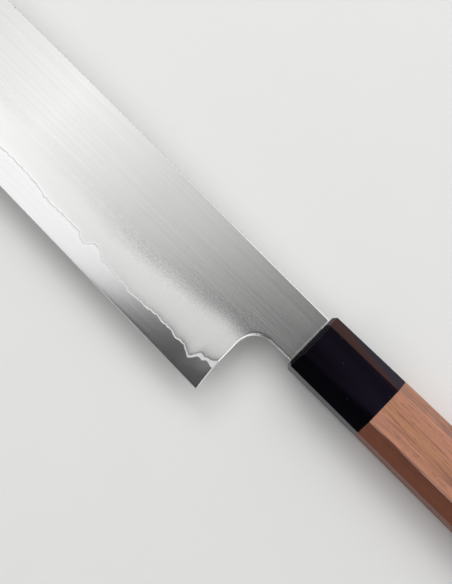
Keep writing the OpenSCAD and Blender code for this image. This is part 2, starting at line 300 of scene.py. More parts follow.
def waves(s, terms):
    """Sum of sine waves along s."""
    return sum(a * np.sin(2 * np.pi * s / w + math.radians(p)) for a, w, p in terms)


# A rounded border is at most this wide, as a share of the steel over the bond layer, and this deep,
# as a share of that steel and of its own width
WIDTH_ROOM = 0.9
DEPTH_ROOM = 0.72
DEPTH_SHARE = 0.85
# Its least width in mm, and how near it comes to upright at its end
LEAST_WIDTH = 0.03
UPRIGHT = 0.995
# In the notch's corner the rounding is widest at one angle, and falls off over another
CORNER_TURN = 48
CORNER_SPREAD = 26
# Step over which slopes are measured
SLOPE_STEP = 0.02


class BladeShape:
    """The blade's form, in millimetres from the handle's axis and the ferrule's front."""

    def __init__(self, sizes):
        self.__dict__.update(settings_of(sizes))
        self.heel_x = -self.heel_setback
        self.tip_x = self.heel_x - self.blade_length
        self.wall_x = self.heel_x - self.heel_lean
        self.shoulder_x = -self.shoulder_gap
        self.choil_x = self.wall_x + self.choil_r
        self.choil_y = -self.neck_drop - self.choil_r
        self.lean_y = (self.choil_y - self.heel_drop) / 2
        s = np.arange(-2, self.blade_length + 6, LINE_STEP)
        seen = [p[0] for p in LEFT_LINE]
        left = np.interp(s, seen, [p[1] for p in LEFT_LINE])
        beyond = np.clip((s - seen[-1]) / 4, 0, 1)
        left += beyond * (LINE_MEAN + waves(s + LEFT_SHIFT, LINE_WAVES) - left)
        left = np.convolve(np.pad(left, 1, mode="edge"), [0.25, 0.5, 0.25], "valid")
        left += waves(s, JAG_WAVES)
        right = LINE_MEAN + waves(s + RIGHT_SHIFT, LINE_WAVES + JAG_WAVES)
        self.line_s = s
        self.line_h = {1: left, -1: right}
        width = self.bond_width + waves(s, WIDTH_WAVES)
        self.line_w = {
            side: width + np.interp(s, [p[0] for p in more], [p[1] for p in more])
            for side, more in ((1, LEFT_WIDENING), (-1, RIGHT_WIDENING))
        }

    def edge(self, x):
        """Height of the cutting edge."""
        s = np.maximum(0, self.heel_x - x)
        return -self.heel_drop + self.edge_slope * s + self.belly_rise * (s / self.blade_length) ** 4

    def back(self, x):
        """Height of the straight spine, before the point is clipped off it."""
        return self.spine_height - self.spine_slope * x

    def spine(self, x):
        """Height of the spine, with the clipped point."""
        a = self.back(x)
        b = self.edge(self.tip_x) + self.tip_flat + (x - self.tip_x) * math.tan(self.clip_angle)
        return (a + b - np.sqrt((a - b) ** 2 + (2 * self.clip_soften) ** 2)) / 2

    def spine_rise(self, x):
        """Slope of the spine."""
        e = SLOPE_STEP / 2
        return (self.spine(x + e) - self.spine(x - e)) / (2 * e)

    def spine_half(self, x):
        """Half the thickness at the spine."""
        return (self.neck_t + (self.tip_t - self.neck_t) * x / self.tip_x) / 2

    def height_share(self, x, y):
        """Share of the way from the edge up to the spine."""
        edge = self.edge(x)
        return (y - edge) / (self.back(x) - edge)

    def half(self, x, y):
        """Half the thickness of the ground blade."""
        rise = np.maximum(0, self.height_share(x, y)) ** self.grind_power
        return self.edge_t / 2 + (self.spine_half(x) - self.edge_t / 2) * rise

    def core_share(self, x, y):
        """Share of the thickness that is core."""
        more = self.core_share_spine - self.core_share_edge
        return self.core_share_edge + more * self.height_share(x, y)

    def core(self, x, y):
        """Height of the core's face."""
        return self.spine_half(x) * self.core_share(x, y)

    def bond(self, x, y):
        """Height of the bond layer's face."""
        return self.spine_half(x) * (self.core_share(x, y) + self.bond_share)

    def bevel(self, x, y):
        """The sharpened bevel: a flat from the edge up to its own height."""
        top = self.edge(x) + self.bevel_height
        low = self.edge_t / 6
        return low + (self.half(x, top) - low) * (y - self.edge(x)) / self.bevel_height

    def line(self, x, side):
        """Upper border of a face's bond line."""
        return self.edge(x) + np.interp(self.heel_x - x, self.line_s, self.line_h[side])

    def low_line(self, x, side):
        """Lower border of a face's bond line."""
        return self.line(x, side) - np.interp(self.heel_x - x, self.line_s, self.line_w[side])

    def bevel_line(self, x, side):
        """Upper border of the sharpened bevel, the same on both faces."""
        return self.edge(x) + self.bevel_height

    def wall(self, y):
        """The heel's back wall: its x at height y."""
        lean = np.clip((self.lean_y - y) / (self.lean_y + self.heel_drop), 0, 1)
        return self.wall_x + (self.heel_x - self.wall_x) * lean

    def roundings(self, x, y):
        """The rounded borders: distance from the border, its gradient, and the rounding's width."""
        slope = self.spine_rise(x)
        flat = 1 / np.sqrt(1 + slope ** 2)
        top = self.spine(x)
        fade = np.maximum(0, 1 + x / self.round_fade)
        width = self.spine_round_tip + (self.spine_round_neck - self.spine_round_tip) * fade
        room = WIDTH_ROOM * (self.half(x, top) - self.bond(x, top))
        width = np.maximum(LEAST_WIDTH, np.minimum(width, room))
        yield (top - y) * flat, slope * flat, -flat, width
        dx = x - self.choil_x
        dy = y - self.choil_y
        reach = np.maximum(np.hypot(dx, dy), 1e-6)
        turn = np.degrees(np.arctan2(np.maximum(dy, 0), np.maximum(-dx, 1e-6)))
        corner = np.exp(-((turn - CORNER_TURN) / CORNER_SPREAD) ** 2)
        width = self.choil_round + self.choil_round_more * corner
        on_wall = dy <= 0
        on_neck = (dx >= 0) & ~on_wall
        far = np.where(on_neck, dy - self.choil_r, reach - self.choil_r)
        far = np.where(on_wall, self.wall(y) - x, far)
        gx = np.where(on_wall, -1, np.where(on_neck, 0, dx / reach))
        gy = np.where(on_wall, 0, np.where(on_neck, 1, dy / reach))
        yield far, gx, gy, width

    def level(self, form, x, y):
        """Height of a plain inner surface, and its slopes."""
        e = SLOPE_STEP
        gx = (form(x + e, y) - form(x - e, y)) / (2 * e)
        gy = (form(x, y + e) - form(x, y - e)) / (2 * e)
        return form(x, y), gx, gy

    def face(self, x, y, form=None):
        """Height of the finished outer face, with its roundings, and its slopes."""
        z, gx, gy = self.level(form or self.half, x, y)
        room = DEPTH_ROOM * (z - np.minimum(self.bond(x, y), z / 2))
        for far, fx, fy, width in self.roundings(x, y):
            depth = np.minimum(DEPTH_SHARE * width, room)
            turn = np.clip(1 - far / width, 0, 1)
            z = z - depth * (1 - np.sqrt(1 - turn ** 2))
            turn = np.minimum(turn, UPRIGHT)
            steep = depth / width * turn / np.sqrt(1 - turn ** 2)
            gx = gx + steep * fx
            gy = gy + steep * fy
            room = np.maximum(room - depth * (turn > 0), 0.02)
        lip = np.maximum(0, x - self.shoulder_x + self.end_lip)
        return z + self.end_rise * lip, gx + self.end_rise * (lip > 0.02), gy

    def bevel_face(self, x, y):
        return self.face(x, y, self.bevel)

    def tang_w(self, x):
        """Width of the tang."""
        t = (x - self.shoulder_x) / (self.tang_length - self.shoulder_x)
        return self.tang_w_front + (self.tang_w_end - self.tang_w_front) * t

    def tang_t(self, x):
        """Thickness of the tang."""
        t = (x - self.shoulder_x) / (self.tang_length - self.shoulder_x)
        return self.tang_t_front + (self.tang_t_end - self.tang_t_front) * t

    def tang_level(self, form):
        """A level in the tang, as a function of place, from the layer's height at the shoulders."""
        if form is None:
            part = 0.5
        else:
            part = float(form(self.shoulder_x, 0)) / self.tang_t_front
        return lambda x, y: self.level(lambda u, v: part * self.tang_t(u), x, y)


# Points of the outline are the same below one distance, and keep another from the named places
SAME_PLACE = 1e-6
PLACE_ROOM = 0.12


class Outline:
    """The blade's outline as a ring of points, run with the steel on its left, with named places."""

    def __init__(self, shape):
        self.shape = shape
        self.points = []
        self.places = {}
        b = shape
        marks = {}
        for side in (1, -1):
            for name, line in (("line", b.line), ("low", b.low_line)):
                marks[name, side] = self.ends(line, side)
        marks["bevel", 0] = self.ends(b.bevel_line, 0)
        tip_y = float(b.edge(b.tip_x))
        wall_marks = {(k, "heel"): v[0] for k, v in marks.items()}
        clip_marks = {(k, "tip"): v[1] for k, v in marks.items() if k[0] != "bevel"}
        bevel_tip = marks["bevel", 0][1]
        # Points lie 0.2 to 2 mm apart, closest round the notch and where the point is clipped off
        self.run([(x, float(b.edge(x))) for x in np.linspace(b.tip_x, b.heel_x, 160)])
        wall_y = np.linspace(-b.heel_drop, b.choil_y, 24)
        self.run([(float(b.wall(y)), y) for y in wall_y], wall_marks, 1)
        turns = np.radians(np.linspace(180, 90, 37))
        self.run([(b.choil_x + b.choil_r * math.cos(a), b.choil_y + b.choil_r * math.sin(a)) for a in turns])
        self.run([(x, -b.neck_drop) for x in np.linspace(b.choil_x, b.shoulder_x, 16)])
        tang = b.tang_w_front / 2
        shoulder_marks = {"tang_low": (b.shoulder_x, -tang), "tang_high": (b.shoulder_x, tang)}
        top = float(b.spine(b.shoulder_x))
        self.run([(b.shoulder_x, y) for y in np.linspace(-b.neck_drop, top, 30)], shoulder_marks, 1)
        clip_x = b.tip_x + (b.back(b.tip_x) - tip_y) / math.tan(b.clip_angle)
        xs = np.concatenate([
            np.linspace(b.shoulder_x, clip_x + 5, 100), np.linspace(clip_x + 4.6, clip_x - 5, 40),
            np.linspace(clip_x - 6, b.tip_x, 50),
        ])
        self.run([(x, float(b.spine(x))) for x in xs], clip_marks, 0)
        tip_top = float(b.spine(b.tip_x))
        self.run([(b.tip_x, y) for y in (tip_top, tip_y)], {(("bevel", 0), "tip"): bevel_tip}, 1)

    def ends(self, line, side):
        """Where a line along the face meets the heel's wall and the clipped point."""
        b = self.shape
        x = b.wall_x
        for _ in range(30):
            x = float(b.wall(line(x, side)))
        near, far = b.tip_x, b.tip_x + 60
        if line(near, side) < b.spine(near):
            far = near
        for _ in range(60):
            middle = (near + far) / 2
            if b.spine(middle) < line(middle, side):
                near = middle
            else:
                far = middle
        return (x, float(line(x, side))), (far, float(line(far, side)))

    def run(self, points, marks=None, axis=0):
        """Adds a stretch of the ring, with marked points put in at their places along it."""
        marks = marks or {}
        taken = list(marks.values())
        clear = [
            p for i, p in enumerate(points)
            if i in (0, len(points) - 1) or all(math.dist(p, q) > PLACE_ROOM for q in taken)
        ]
        way = 1 if points[-1][axis] > points[0][axis] else -1
        named = [(p, None) for p in clear] + [(p, name) for name, p in marks.items()]
        for p, name in sorted(named, key=lambda n: way * n[0][axis]):
            if any(math.dist(p, q) < SAME_PLACE for q in self.points[-1:] + self.points[:1]):
                continue
            if name is not None:
                self.places[name] = len(self.points)
            self.points.append((float(p[0]), float(p[1])))

    def cut(self, start, end):
        """The ring's points from one named place on to another."""
        i, j = self.places[start], self.places[end]
        if j < i:
            j += len(self.points)
        return [self.points[k % len(self.points)] for k in range(i, j + 1)]

    def along(self, name, side, line):
        """A line's points between its two ends, from the heel to the tip, without the ends."""
        heel = self.points[self.places[(name, side), "heel"]]
        tip = self.points[self.places[(name, side), "tip"]]
        fine = np.arange(heel[0] - 0.3, max(heel[0] - FINE_REACH, tip[0] + 0.4), -LINE_STEP)
        coarse = np.arange(fine[-1] - 2 * LINE_STEP, tip[0] + 0.4, -2 * LINE_STEP)
        return [(float(x), float(line(x, side))) for x in np.concatenate([fine, coarse])]

    def regions(self, side):
        """The polygons that one face is made of, each run anticlockwise."""
        b = self.shape
        line = self.along("line", side, b.line)
        low = self.along("low", side, b.low_line)
        bevel = self.along("bevel", 0, b.bevel_line)
        heel = {n: ((n, side), "heel") for n in ("line", "low")}
        tip = {n: ((n, side), "tip") for n in ("line", "low")}
        bevel_heel, bevel_tip = (("bevel", 0), "heel"), (("bevel", 0), "tip")
        rest = self.cut(tip["low"], bevel_tip)
        tang_end = b.tang_w(b.tang_length) / 2
        shoulder = self.cut("tang_low", "tang_high")
        return {
            "bevel": self.cut(bevel_tip, bevel_heel) + bevel,
            "strip": self.cut(bevel_heel, heel["low"]) + low + rest + bevel[::-1],
            "band": self.cut(heel["low"], heel["line"]) + line
            + self.cut(tip["line"], tip["low"]) + low[::-1],
            "web": self.cut(heel["line"], tip["line"]) + line[::-1],
            "band_web": self.cut(heel["low"], tip["low"]) + low[::-1],
            "tang": [(b.tang_length, -tang_end), (b.tang_length, tang_end)] + shoulder[::-1],
        }


def clearance(points, polygon):
    """Distance of points from a polygon's border, below zero outside it."""
    a = np.asarray(polygon)
    run = np.roll(a, -1, axis=0) - a
    found = []
    for part in np.array_split(points, max(1, len(points) // 400)):
        d = part[:, None] - a[None]
        t = np.clip((d * run).sum(2) / (run ** 2).sum(1), 0, 1)
        near = np.sqrt(((d - t[..., None] * run) ** 2).sum(2)).min(1)
        crossed = (d[..., 1] < 0) != (d[..., 1] - run[:, 1] < 0)
        safe = np.where(run[:, 1] == 0, 1, run[:, 1])
        inside = (crossed & (d[..., 0] < d[..., 1] * run[:, 0] / safe)).sum(1) % 2 == 1
        found.append(np.where(inside, near, -near))
    return np.concatenate(found)


# Shares of a fill's spacing: between its rows, and kept from the border and from extra points
ROW_SHARE = 0.87
BORDER_SHARE = 0.35
POINT_SHARE = 0.55
# Extra points this near to the border, in mm, are left out
EXTRA_ROOM = 0.012


def fill(polygon, spacing, extra):
    """Triangles that fill a polygon, through a grid of points and through the extra points."""
    ring = np.asarray(polygon)
    low, high = ring.min(0), ring.max(0)
    rows = np.arange(low[1], high[1], spacing * ROW_SHARE)
    columns = np.arange(low[0], high[0], spacing)
    x, y = np.meshgrid(columns, rows)
    x = x + (np.arange(len(rows)) % 2)[:, None] * spacing / 2
    grid = np.stack([x.ravel(), y.ravel()], 1)
    grid = grid[clearance(grid, ring) > BORDER_SHARE * spacing] if len(grid) else grid
    if len(extra):
        extra = extra[clearance(extra, ring) > EXTRA_ROOM]
        if len(grid) and len(extra):
            gap = [np.hypot(*(extra - p).T).min() for p in grid]
            grid = grid[np.array(gap) > POINT_SHARE * spacing]
        grid = np.concatenate([grid, extra])
    points = [Vector(p) for p in np.concatenate([ring, grid])]
    verts, _, faces, *_ = delaunay_2d_cdt(points, [], [list(range(len(ring)))], 1, 1e-5)
    return np.array([v[:] for v in verts], float), [tuple(f) for f in faces]


def border_points(shape):
    """Points that carry the rounded borders: rows beside the spine, the notch and the end."""
    b = shape
    found = []
    depths = [1 - math.sin(math.radians(a)) for a in (62, 42, 26, 12, 0)]
    xs = np.arange(b.tip_x + 0.7, b.shoulder_x, 1)
    slope = b.spine_rise(xs)
    flat = 1 / np.sqrt(1 + slope ** 2)
    width = next(iter(b.roundings(xs, b.spine(xs))))[3]
    for share_of in depths:
        d = share_of * width
        found.append(np.stack([xs + slope * flat * d, b.spine(xs) - flat * d], 1))
    walls = [(float(b.wall(y)), y) for y in np.arange(-b.heel_drop + 0.3, b.choil_y, 0.6)]
    arc = [
        (b.choil_x + b.choil_r * math.cos(a), b.choil_y + b.choil_r * math.sin(a))
        for a in np.radians(np.arange(180, 89, -3))
    ]
    neck = [(x, -b.neck_drop) for x in np.arange(b.choil_x + 0.5, b.shoulder_x, 0.6)]
    base = np.array(walls + arc + neck)
    _, gx, gy, width = list(b.roundings(base[:, 0], base[:, 1]))[1]
    for share_of in depths:
        found.append(base + np.stack([gx, gy], 1) * (share_of * width)[:, None])
    ys = np.arange(-b.neck_drop + 0.4, b.spine_height, 0.6)
    for part in (0.3, 0.6, 0.9, 1.06):
        found.append(np.stack([b.shoulder_x - part * b.end_lip + 0 * ys, ys], 1))
    return np.concatenate(found)


# Points are the same where they agree to a step: steps per mm across the face and in thickness
FLAT_STEPS = 500
THICK_STEPS = 2000
# Walls that meet at less than about 30 degrees (by its cosine) look smooth where they meet
SMOOTH_COSINE = 0.85

# One sheet's open border: whether it runs the way of its key, its two ends, and the sheet's facing
Border = namedtuple("Border", "forward start end start_z end_z facing")


def flat_key(p):
    """A point's place on the face, in whole steps."""
    return round(p[0] * FLAT_STEPS), round(p[1] * FLAT_STEPS)


class Layer:
    """A closed steel layer, put together from sheets that face up or down and walls between them."""

    def __init__(self):
        self.sheets = []
        self.vertex = {}
        self.places = []
        self.faces = []
        self.normals = []

    def sheet(self, patch, form, facing, half):
        """Adds a patch as a surface at height form, on the left half (1) or the right half (-1)."""
        points, faces = patch
        z, gx, gy = form(points[:, 0], points[:, 1])
        ones = np.ones(len(points))
        normals = np.stack([-half * gx * ones, -half * gy * ones, ones], 1)
        normals *= facing / np.linalg.norm(normals, axis=1)[:, None]
        self.sheets.append((points, faces, half * z * ones, normals, facing))

    def put(self, p, z):
        """Number of the vertex at a place, made where there is none yet."""
        key = (*flat_key(p), round(z * THICK_STEPS))
        if key not in self.vertex:
            self.vertex[key] = len(self.places)
            self.places.append((p[0], p[1], z))
        return self.vertex[key]

    def weld_sheets(self):
        """Puts the sheets' triangles in, and returns the borders that they leave open, by place."""
        borders = {}
        for points, triangles, z, normal, facing in self.sheets:
            edges = {}
            for triangle in triangles:
                order = triangle if facing > 0 else triangle[::-1]
                corner = [self.put(points[i], z[i]) for i in order]
                if len(set(corner)) == 3:
                    self.faces.append(corner)
                    self.normals.append([normal[i] for i in order])
                for i, j in zip(triangle, triangle[1:] + triangle[:1]):
                    edges[i, j] = True
            for i, j in edges:
                if (j, i) not in edges:
                    ends = flat_key(points[i]), flat_key(points[j])
                    key = (min(ends), max(ends))
                    border = Border(ends[0] == key[0], points[i], points[j], z[i], z[j], facing)
                    borders.setdefault(key, []).append(border)
        return borders

    def wall(self, low, high, way):
        """Corners of the wall between two borders, run the way of a third, and where it faces."""
        low_z = (low.start_z, low.end_z) if low.forward == way.forward else (low.end_z, low.start_z)
        high_z = (high.start_z, high.end_z) if high.forward == way.forward else (high.end_z, high.start_z)
        a, c = way.start, way.end
        corner = []
        for p, z in ((a, low_z[0]), (c, low_z[1]), (c, high_z[1]), (a, high_z[0])):
            v = self.put(p, z)
            if v not in corner:
                corner.append(v)
        out = np.array([c[1] - a[1], a[0] - c[0], 0])
        flip = -1 if sum(high_z) < sum(low_z) else 1
        return corner, flip * out / np.linalg.norm(out)

    def close(self, name):
        """Welds the sheets and walls up what they leave open."""
        walls = []
        for found in self.weld_sheets().values():
            ups = [border for border in found if border.facing > 0]
            downs = [border for border in found if border.facing < 0]
            pairs = []
            if len(ups) == 2:
                pairs.append((ups[1], ups[0], ups[0]))
            if len(downs) == 2:
                pairs.append((downs[0], downs[1], downs[0]))
            if len(ups) == 1 and len(downs) == 1:
                pairs.append((downs[0], ups[0], ups[0]))
            if not pairs:
                raise RuntimeError(f"{name}: a border of the layer meets no other at {found[0].start}")
            for pair in pairs:
                corner, out = self.wall(*pair)
                if len(corner) > 2:
                    walls.append((corner, out))
        near = {}
        for corner, out in walls:
            for v in corner:
                near.setdefault(flat_key(self.places[v]), []).append(out)
        for corner, out in walls:
            self.faces.append(corner)
            turned = []
            for v in corner:
                mean = sum(n for n in near[flat_key(self.places[v])] if n @ out > SMOOTH_COSINE)
                turned.append(mean / np.linalg.norm(mean))
            self.normals.append(turned)

    def mesh(self, name, shape):
        """Makes the mesh, in metres and at its place, with its normals, map and attributes."""
        self.close(name)
        place = np.array(self.places)
        mesh = bpy.data.meshes.new(name)
        mesh.from_pydata((place * MM + np.array(AXIS)).tolist(), [], self.faces)
        mesh.polygons.foreach_set("use_smooth", [True] * len(mesh.polygons))
        mark_steel(mesh, shape, place)
        mesh.normals_split_custom_set([tuple(n) for face in self.normals for n in face])
        return mesh


def mark_steel(mesh, shape, place):
    """Gives a steel mesh what its finish reads: distances in mm, and a map that runs along it."""
    b = shape
    x, y, z = place.T
    height = y - b.edge(x)
    rim = np.zeros(len(x))
    for far, _, _, width in b.roundings(x, y):
        rim = np.maximum(rim, np.clip(1 - far / width, 0, 1))
    haze_top = np.maximum(b.haze_low, b.haze_height + b.haze_slope * (x - b.heel_x))
    haze_top -= b.haze_dip * np.maximum(0, x - b.heel_x + 8)
    for attribute, values in (
        ("height", height), ("line_gap", np.where(z >= 0, y - b.line(x, 1), y - b.line(x, -1))),
        ("rim", np.where(x <= b.shoulder_x + SAME_PLACE, rim, 0)), ("over_haze", height - haze_top),
    ):
        layer = mesh.attributes.new(attribute, "FLOAT", "POINT")
        layer.data.foreach_set("value", values.astype(np.float32))
    uv = mesh.uv_layers.new(name="along_blade")
    corners = np.zeros(len(mesh.loops), int)
    mesh.loops.foreach_get("vertex_index", corners)
    flat_map = np.stack([x + 0.37 * z, y + 0.61 * z], 1)[corners] / 100 + 2.5
    uv.data.foreach_set("uv", flat_map.astype(np.float32).ravel())


# Distance between points: on the outer faces, and inside, where nothing shows
FACE_SPACING = 1.3
INNER_SPACING = 4
PATCHES = {}


def blade_patches(shape):
    """The filled regions of both faces, worked out once: fine for what shows, coarse inside."""
    if not PATCHES:
        outline = Outline(shape)
        rims = border_points(shape)
        for side in (1, -1):
            regions = outline.regions(side)
            for name, polygon in regions.items():
                spacing = INNER_SPACING if name in ("band_web", "tang") else FACE_SPACING
                fine = name not in ("band_web", "tang", "bevel")
                PATCHES[name, side] = fill(polygon, spacing, rims if fine else [])
            PATCHES["inner", side] = fill(regions["web"], INNER_SPACING, [])
    return PATCHES


def level_of(shape, form):
    """A plain inner surface as a function of place."""
    return lambda x, y: shape.level(form, x, y)


def finish_piece(name, mesh, nodes, materials):
    """Makes the object, gives it its materials, hangs it under the root and hides the parts that it stands
    in for.
    """
    piece = bpy.data.objects.new(name, mesh)
    bpy.context.scene.collection.objects.link(piece)
    mesh.materials.clear()
    for material in materials:
        mesh.materials.append(material)
    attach(piece, "root")
    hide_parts(*nodes)


def new_material(name):
    """A material with only its output and its main shader."""
    material = bpy.data.materials.new(name)
    material.use_nodes = True
    tree = material.node_tree
    tree.nodes.clear()
    shader = add(tree, "ShaderNodeBsdfPrincipled")
    add(tree, "ShaderNodeOutputMaterial", {}, {"Surface": shader.outputs[0]})
    return material, tree, shader


def rgba(values, factor=1):
    """A colour times a factor, no brighter than white, with full alpha."""
    return (*(min(1, factor * c) for c in values), 1.0)


def pattern_space(tree, scale):
    """The piece's own coordinates, moved to the handle's axis, in repeats per metre."""
    place = add(tree, "ShaderNodeTexCoord").outputs["Object"]
    centred = add(tree, "ShaderNodeVectorMath", {"operation": "SUBTRACT"}, {0: place, 1: tuple(AXIS)})
    return add(tree, "ShaderNodeMapping", {}, {0: centred.outputs[0], "Scale": scale}).outputs[0]


def own_place(tree):
    """Place from the handle's axis and the ferrule's front, in metres: x, y and z."""
    return add(tree, "ShaderNodeSeparateXYZ", {}, {0: pattern_space(tree, (1, 1, 1))}).outputs


def steel_tangent(tree, shader):
    """Sets the grinding lines along the blade, so that its shine spreads across them."""
    lines = add(tree, "ShaderNodeTangent", {"direction_type": "UV_MAP", "uv_map": "along_blade"})
    tree.links.new(lines.outputs[0], shader.inputs["Tangent"])
    shader.inputs["Anisotropic Rotation"].default_value = 0.25


def satin_cladding(finishes):
    """Soft stainless steel, ground lengthwise and stoned below: satin, with a hazy lower bevel."""
    material, tree, shader = new_material("satin_ground_soft_steel")
    known = {"along": own_place(tree)[0]}
    for name, attribute in (("over", "over_haze"), ("gap", "line_gap"), ("rim", "rim")):
        known[name] = add(tree, "ShaderNodeAttribute", {"attribute_name": attribute}).outputs["Fac"]
    for name, scale, detail in (
        # Grinding lines are about 0.05 mm apart: drawn 0.5 mm apart, and 70 mm long
        ("hair", (14, 1700, 1700), 2.0),
        # Wider streaks that the grinding belt leaves, about 2 mm across
        ("streaks", (9, 500, 500), 2.0),
        # Grains of the stone haze are finer than 0.1 mm: drawn 0.5 mm wide
        ("grain", (2200, 2200, 2200), 1.0),
        # The haze's upper border wanders, in clouds about 9 mm across and 30 mm long
        ("cloud", (35, 110, 110), 2.0),
    ):
        known[name] = add(tree, "ShaderNodeTexNoise", {}, {
            "Vector": pattern_space(tree, scale), "Scale": 1.0, "Detail": detail,
        }).outputs[0]
    # The grain of the haze is bolder towards the heel
    known["bold"] = add(tree, "ShaderNodeMapRange", {}, {
        "Value": known["along"], "From Min": -0.09, "From Max": -0.04, "To Min": 0.4, "To Max": 2.4,
    }).outputs[0]
    formula(tree, [
        ("shake", "SUBTRACT", "grain", 0.5),
        ("sway", "SUBTRACT", "cloud", 0.5),
        ("place", "MULTIPLY_ADD", "sway", 5.0, "over"),
        # Its grain shows most along its upper border
        ("border", "SUBTRACT", "over", 1.5),
        ("border", "ABSOLUTE", "border"),
        ("border", "MULTIPLY_ADD", "border", -0.13, 1.0),
        ("border", "MAXIMUM", "border", 0.12),
        ("stipple", "MULTIPLY", "shake", "border"),
        # The haze thins out towards the bond line
        ("near", "MULTIPLY", "gap", -0.5),
        ("near", "EXPONENT", "near"),
        ("above", "SUBTRACT", 1.0, "near"),
    ], known)
    known["below"] = add(tree, "ShaderNodeMapRange", SOFT_RAMP, {
        "Value": known["place"], "From Min": 4.0, "From Max": -4.5,
    }).outputs[0]
    formula(tree, [
        ("open", "SUBTRACT", 1.0, "rim"),
        ("haze", "MULTIPLY", "below", "above"),
        ("haze", "MULTIPLY", "haze", "open"),
        # The grinding lines are fainter in the haze, and gone on the rims
        ("fine", "SUBTRACT", "hair", 0.5),
        ("fine", "MULTIPLY", "fine", 0.33),
        ("wide", "SUBTRACT", "streaks", 0.5),
        ("lines", "MULTIPLY_ADD", "wide", 0.13, "fine"),
        ("calm", "MULTIPLY_ADD", "below", -0.75, 1.0),
        ("lines", "MULTIPLY", "lines", "calm"),
        ("lines", "MULTIPLY", "lines", "open"),
        ("rough", "MULTIPLY_ADD", "haze", 0.18, 0.265),
        ("rough", "MULTIPLY_ADD", "near", -0.04, "rough"),
        ("rough", "MULTIPLY_ADD", "lines", 0.1, "rough"),
        ("tone", "MULTIPLY_ADD", "stipple", "bold", "lines"),
        # Painted light: the haze's colour is raised, making up for the dim ceiling that its wide shine takes
        # in
        ("tone", "MULTIPLY_ADD", "haze", 0.14, "tone"),
        ("tone", "ADD", "tone", 0.5),
        # The rounded rims are painted brighter than the ground faces: a painted highlight that stands in for
        # their glint
        ("tone", "MULTIPLY_ADD", "rim", 0.7, "tone"),
        ("across", "SUBTRACT", 1.0, "haze"),
        ("across", "MULTIPLY", "across", 0.25),
        # Painted light: above the haze the steel keeps its full tone over a stretch some 120 mm from the
        # ferrule as a painted reflection, and is painted darker away from it as painted shade
        ("ground", "ADD", "along", 0.118),
        ("ground", "ABSOLUTE", "ground"),
        ("ground", "MULTIPLY_ADD", "ground", 14.0, 0.35),
        ("ground", "MINIMUM", "ground", 1.0),
        ("dull", "SUBTRACT", 1.0, "below"),
        ("dull", "MULTIPLY", "dull", "open"),
        ("dull", "MULTIPLY", "dull", "ground"),
    ], known)
    tone = add(tree, "ShaderNodeMix", BLEND, {
        0: known["tone"], 6: rgba(finishes.cladding, 0.78), 7: rgba(finishes.cladding, 1.22),
    }).outputs[2]
    # Painted shade: the tone darkened towards the tint above the haze, least over the brightest stretch
    painted_shade_tone = add(tree, "ShaderNodeMix", TINT, {
        0: known["dull"], 6: tone, 7: rgba(finishes.cladding_tint),
    }).outputs[2]
    bump = add(tree, "ShaderNodeBump", {}, {
        "Strength": 0.05, "Distance": 0.00002, "Height": known["lines"],
    }).outputs[0]
    for name, value in (
        ("Base Color", painted_shade_tone), ("Roughness", known["rough"]), ("Anisotropic", known["across"]),
        ("Normal", bump),
    ):
        tree.links.new(value, shader.inputs[name])
    shader.inputs["Metallic"].default_value = 1.0
    steel_tangent(tree, shader)
    return material


def polished_core(finishes, bevel):
    """Hard carbon steel, polished on fine stones: smoother and darker than the cladding."""
    material, tree, shader = new_material("stone_polished_hard_steel")
    height, gap = (
        add(tree, "ShaderNodeAttribute", {"attribute_name": name}).outputs["Fac"]
        for name in ("height", "line_gap")
    )
    # Polishing lines run along the edge: drawn 0.5 mm apart, and 30 mm long
    known = {"hair": add(tree, "ShaderNodeTexNoise", {}, {
        "Vector": pattern_space(tree, (33, 2000, 2000)), "Scale": 1.0, "Detail": 2.0,
    }).outputs[0]}
    for name, value, ramp, start, end, low, high in (
        # The sharpened bevel is rougher than the steel above it, and painted brighter: a painted highlight
        # along the edge
        ("sharp", height, {}, bevel - 0.01, bevel + 0.03, 1.0, 0.0),
        # The stones leave the steel hazier at the heel, most of all below the bond line
        ("heel", own_place(tree)[0], SOFT_RAMP, -0.031, -0.019, 0.0, 1.0),
        ("near", gap, SOFT_RAMP, -8.0, -1.0, 0.25, 1.0),
        ("at_line", gap, SOFT_RAMP, -0.4, -3.0, 0.15, 0.0),
    ):
        known[name] = add(tree, "ShaderNodeMapRange", ramp, {
            "Value": value, "From Min": start, "From Max": end, "To Min": low, "To Max": high,
        }).outputs[0]
    formula(tree, [
        ("fine", "SUBTRACT", "hair", 0.5),
        ("rough", "MULTIPLY_ADD", "fine", 0.03, 0.17),
        ("rough", "MULTIPLY_ADD", "sharp", 0.16, "rough"),
        ("hazy", "MULTIPLY", "heel", "near"),
        ("rough", "MULTIPLY_ADD", "hazy", 0.07, "rough"),
        ("bright", "MAXIMUM", "at_line", "sharp"),
    ], known)
    tone = add(tree, "ShaderNodeMix", BLEND, {
        0: known["hair"], 6: rgba(finishes.core, 0.94), 7: rgba(finishes.core, 1.05),
    }).outputs[2]
    # Lighter just below the bond line, and painted brighter on the sharpened bevel as a painted highlight
    mixed = add(tree, "ShaderNodeMix", BLEND, {
        0: known["bright"], 6: tone, 7: rgba(finishes.core, 1.2),
    }).outputs[2]
    tree.links.new(mixed, shader.inputs["Base Color"])
    tree.links.new(known["rough"], shader.inputs["Roughness"])
    shader.inputs["Metallic"].default_value = 1.0
    shader.inputs["Anisotropic"].default_value = 0.25
    steel_tangent(tree, shader)
    return material


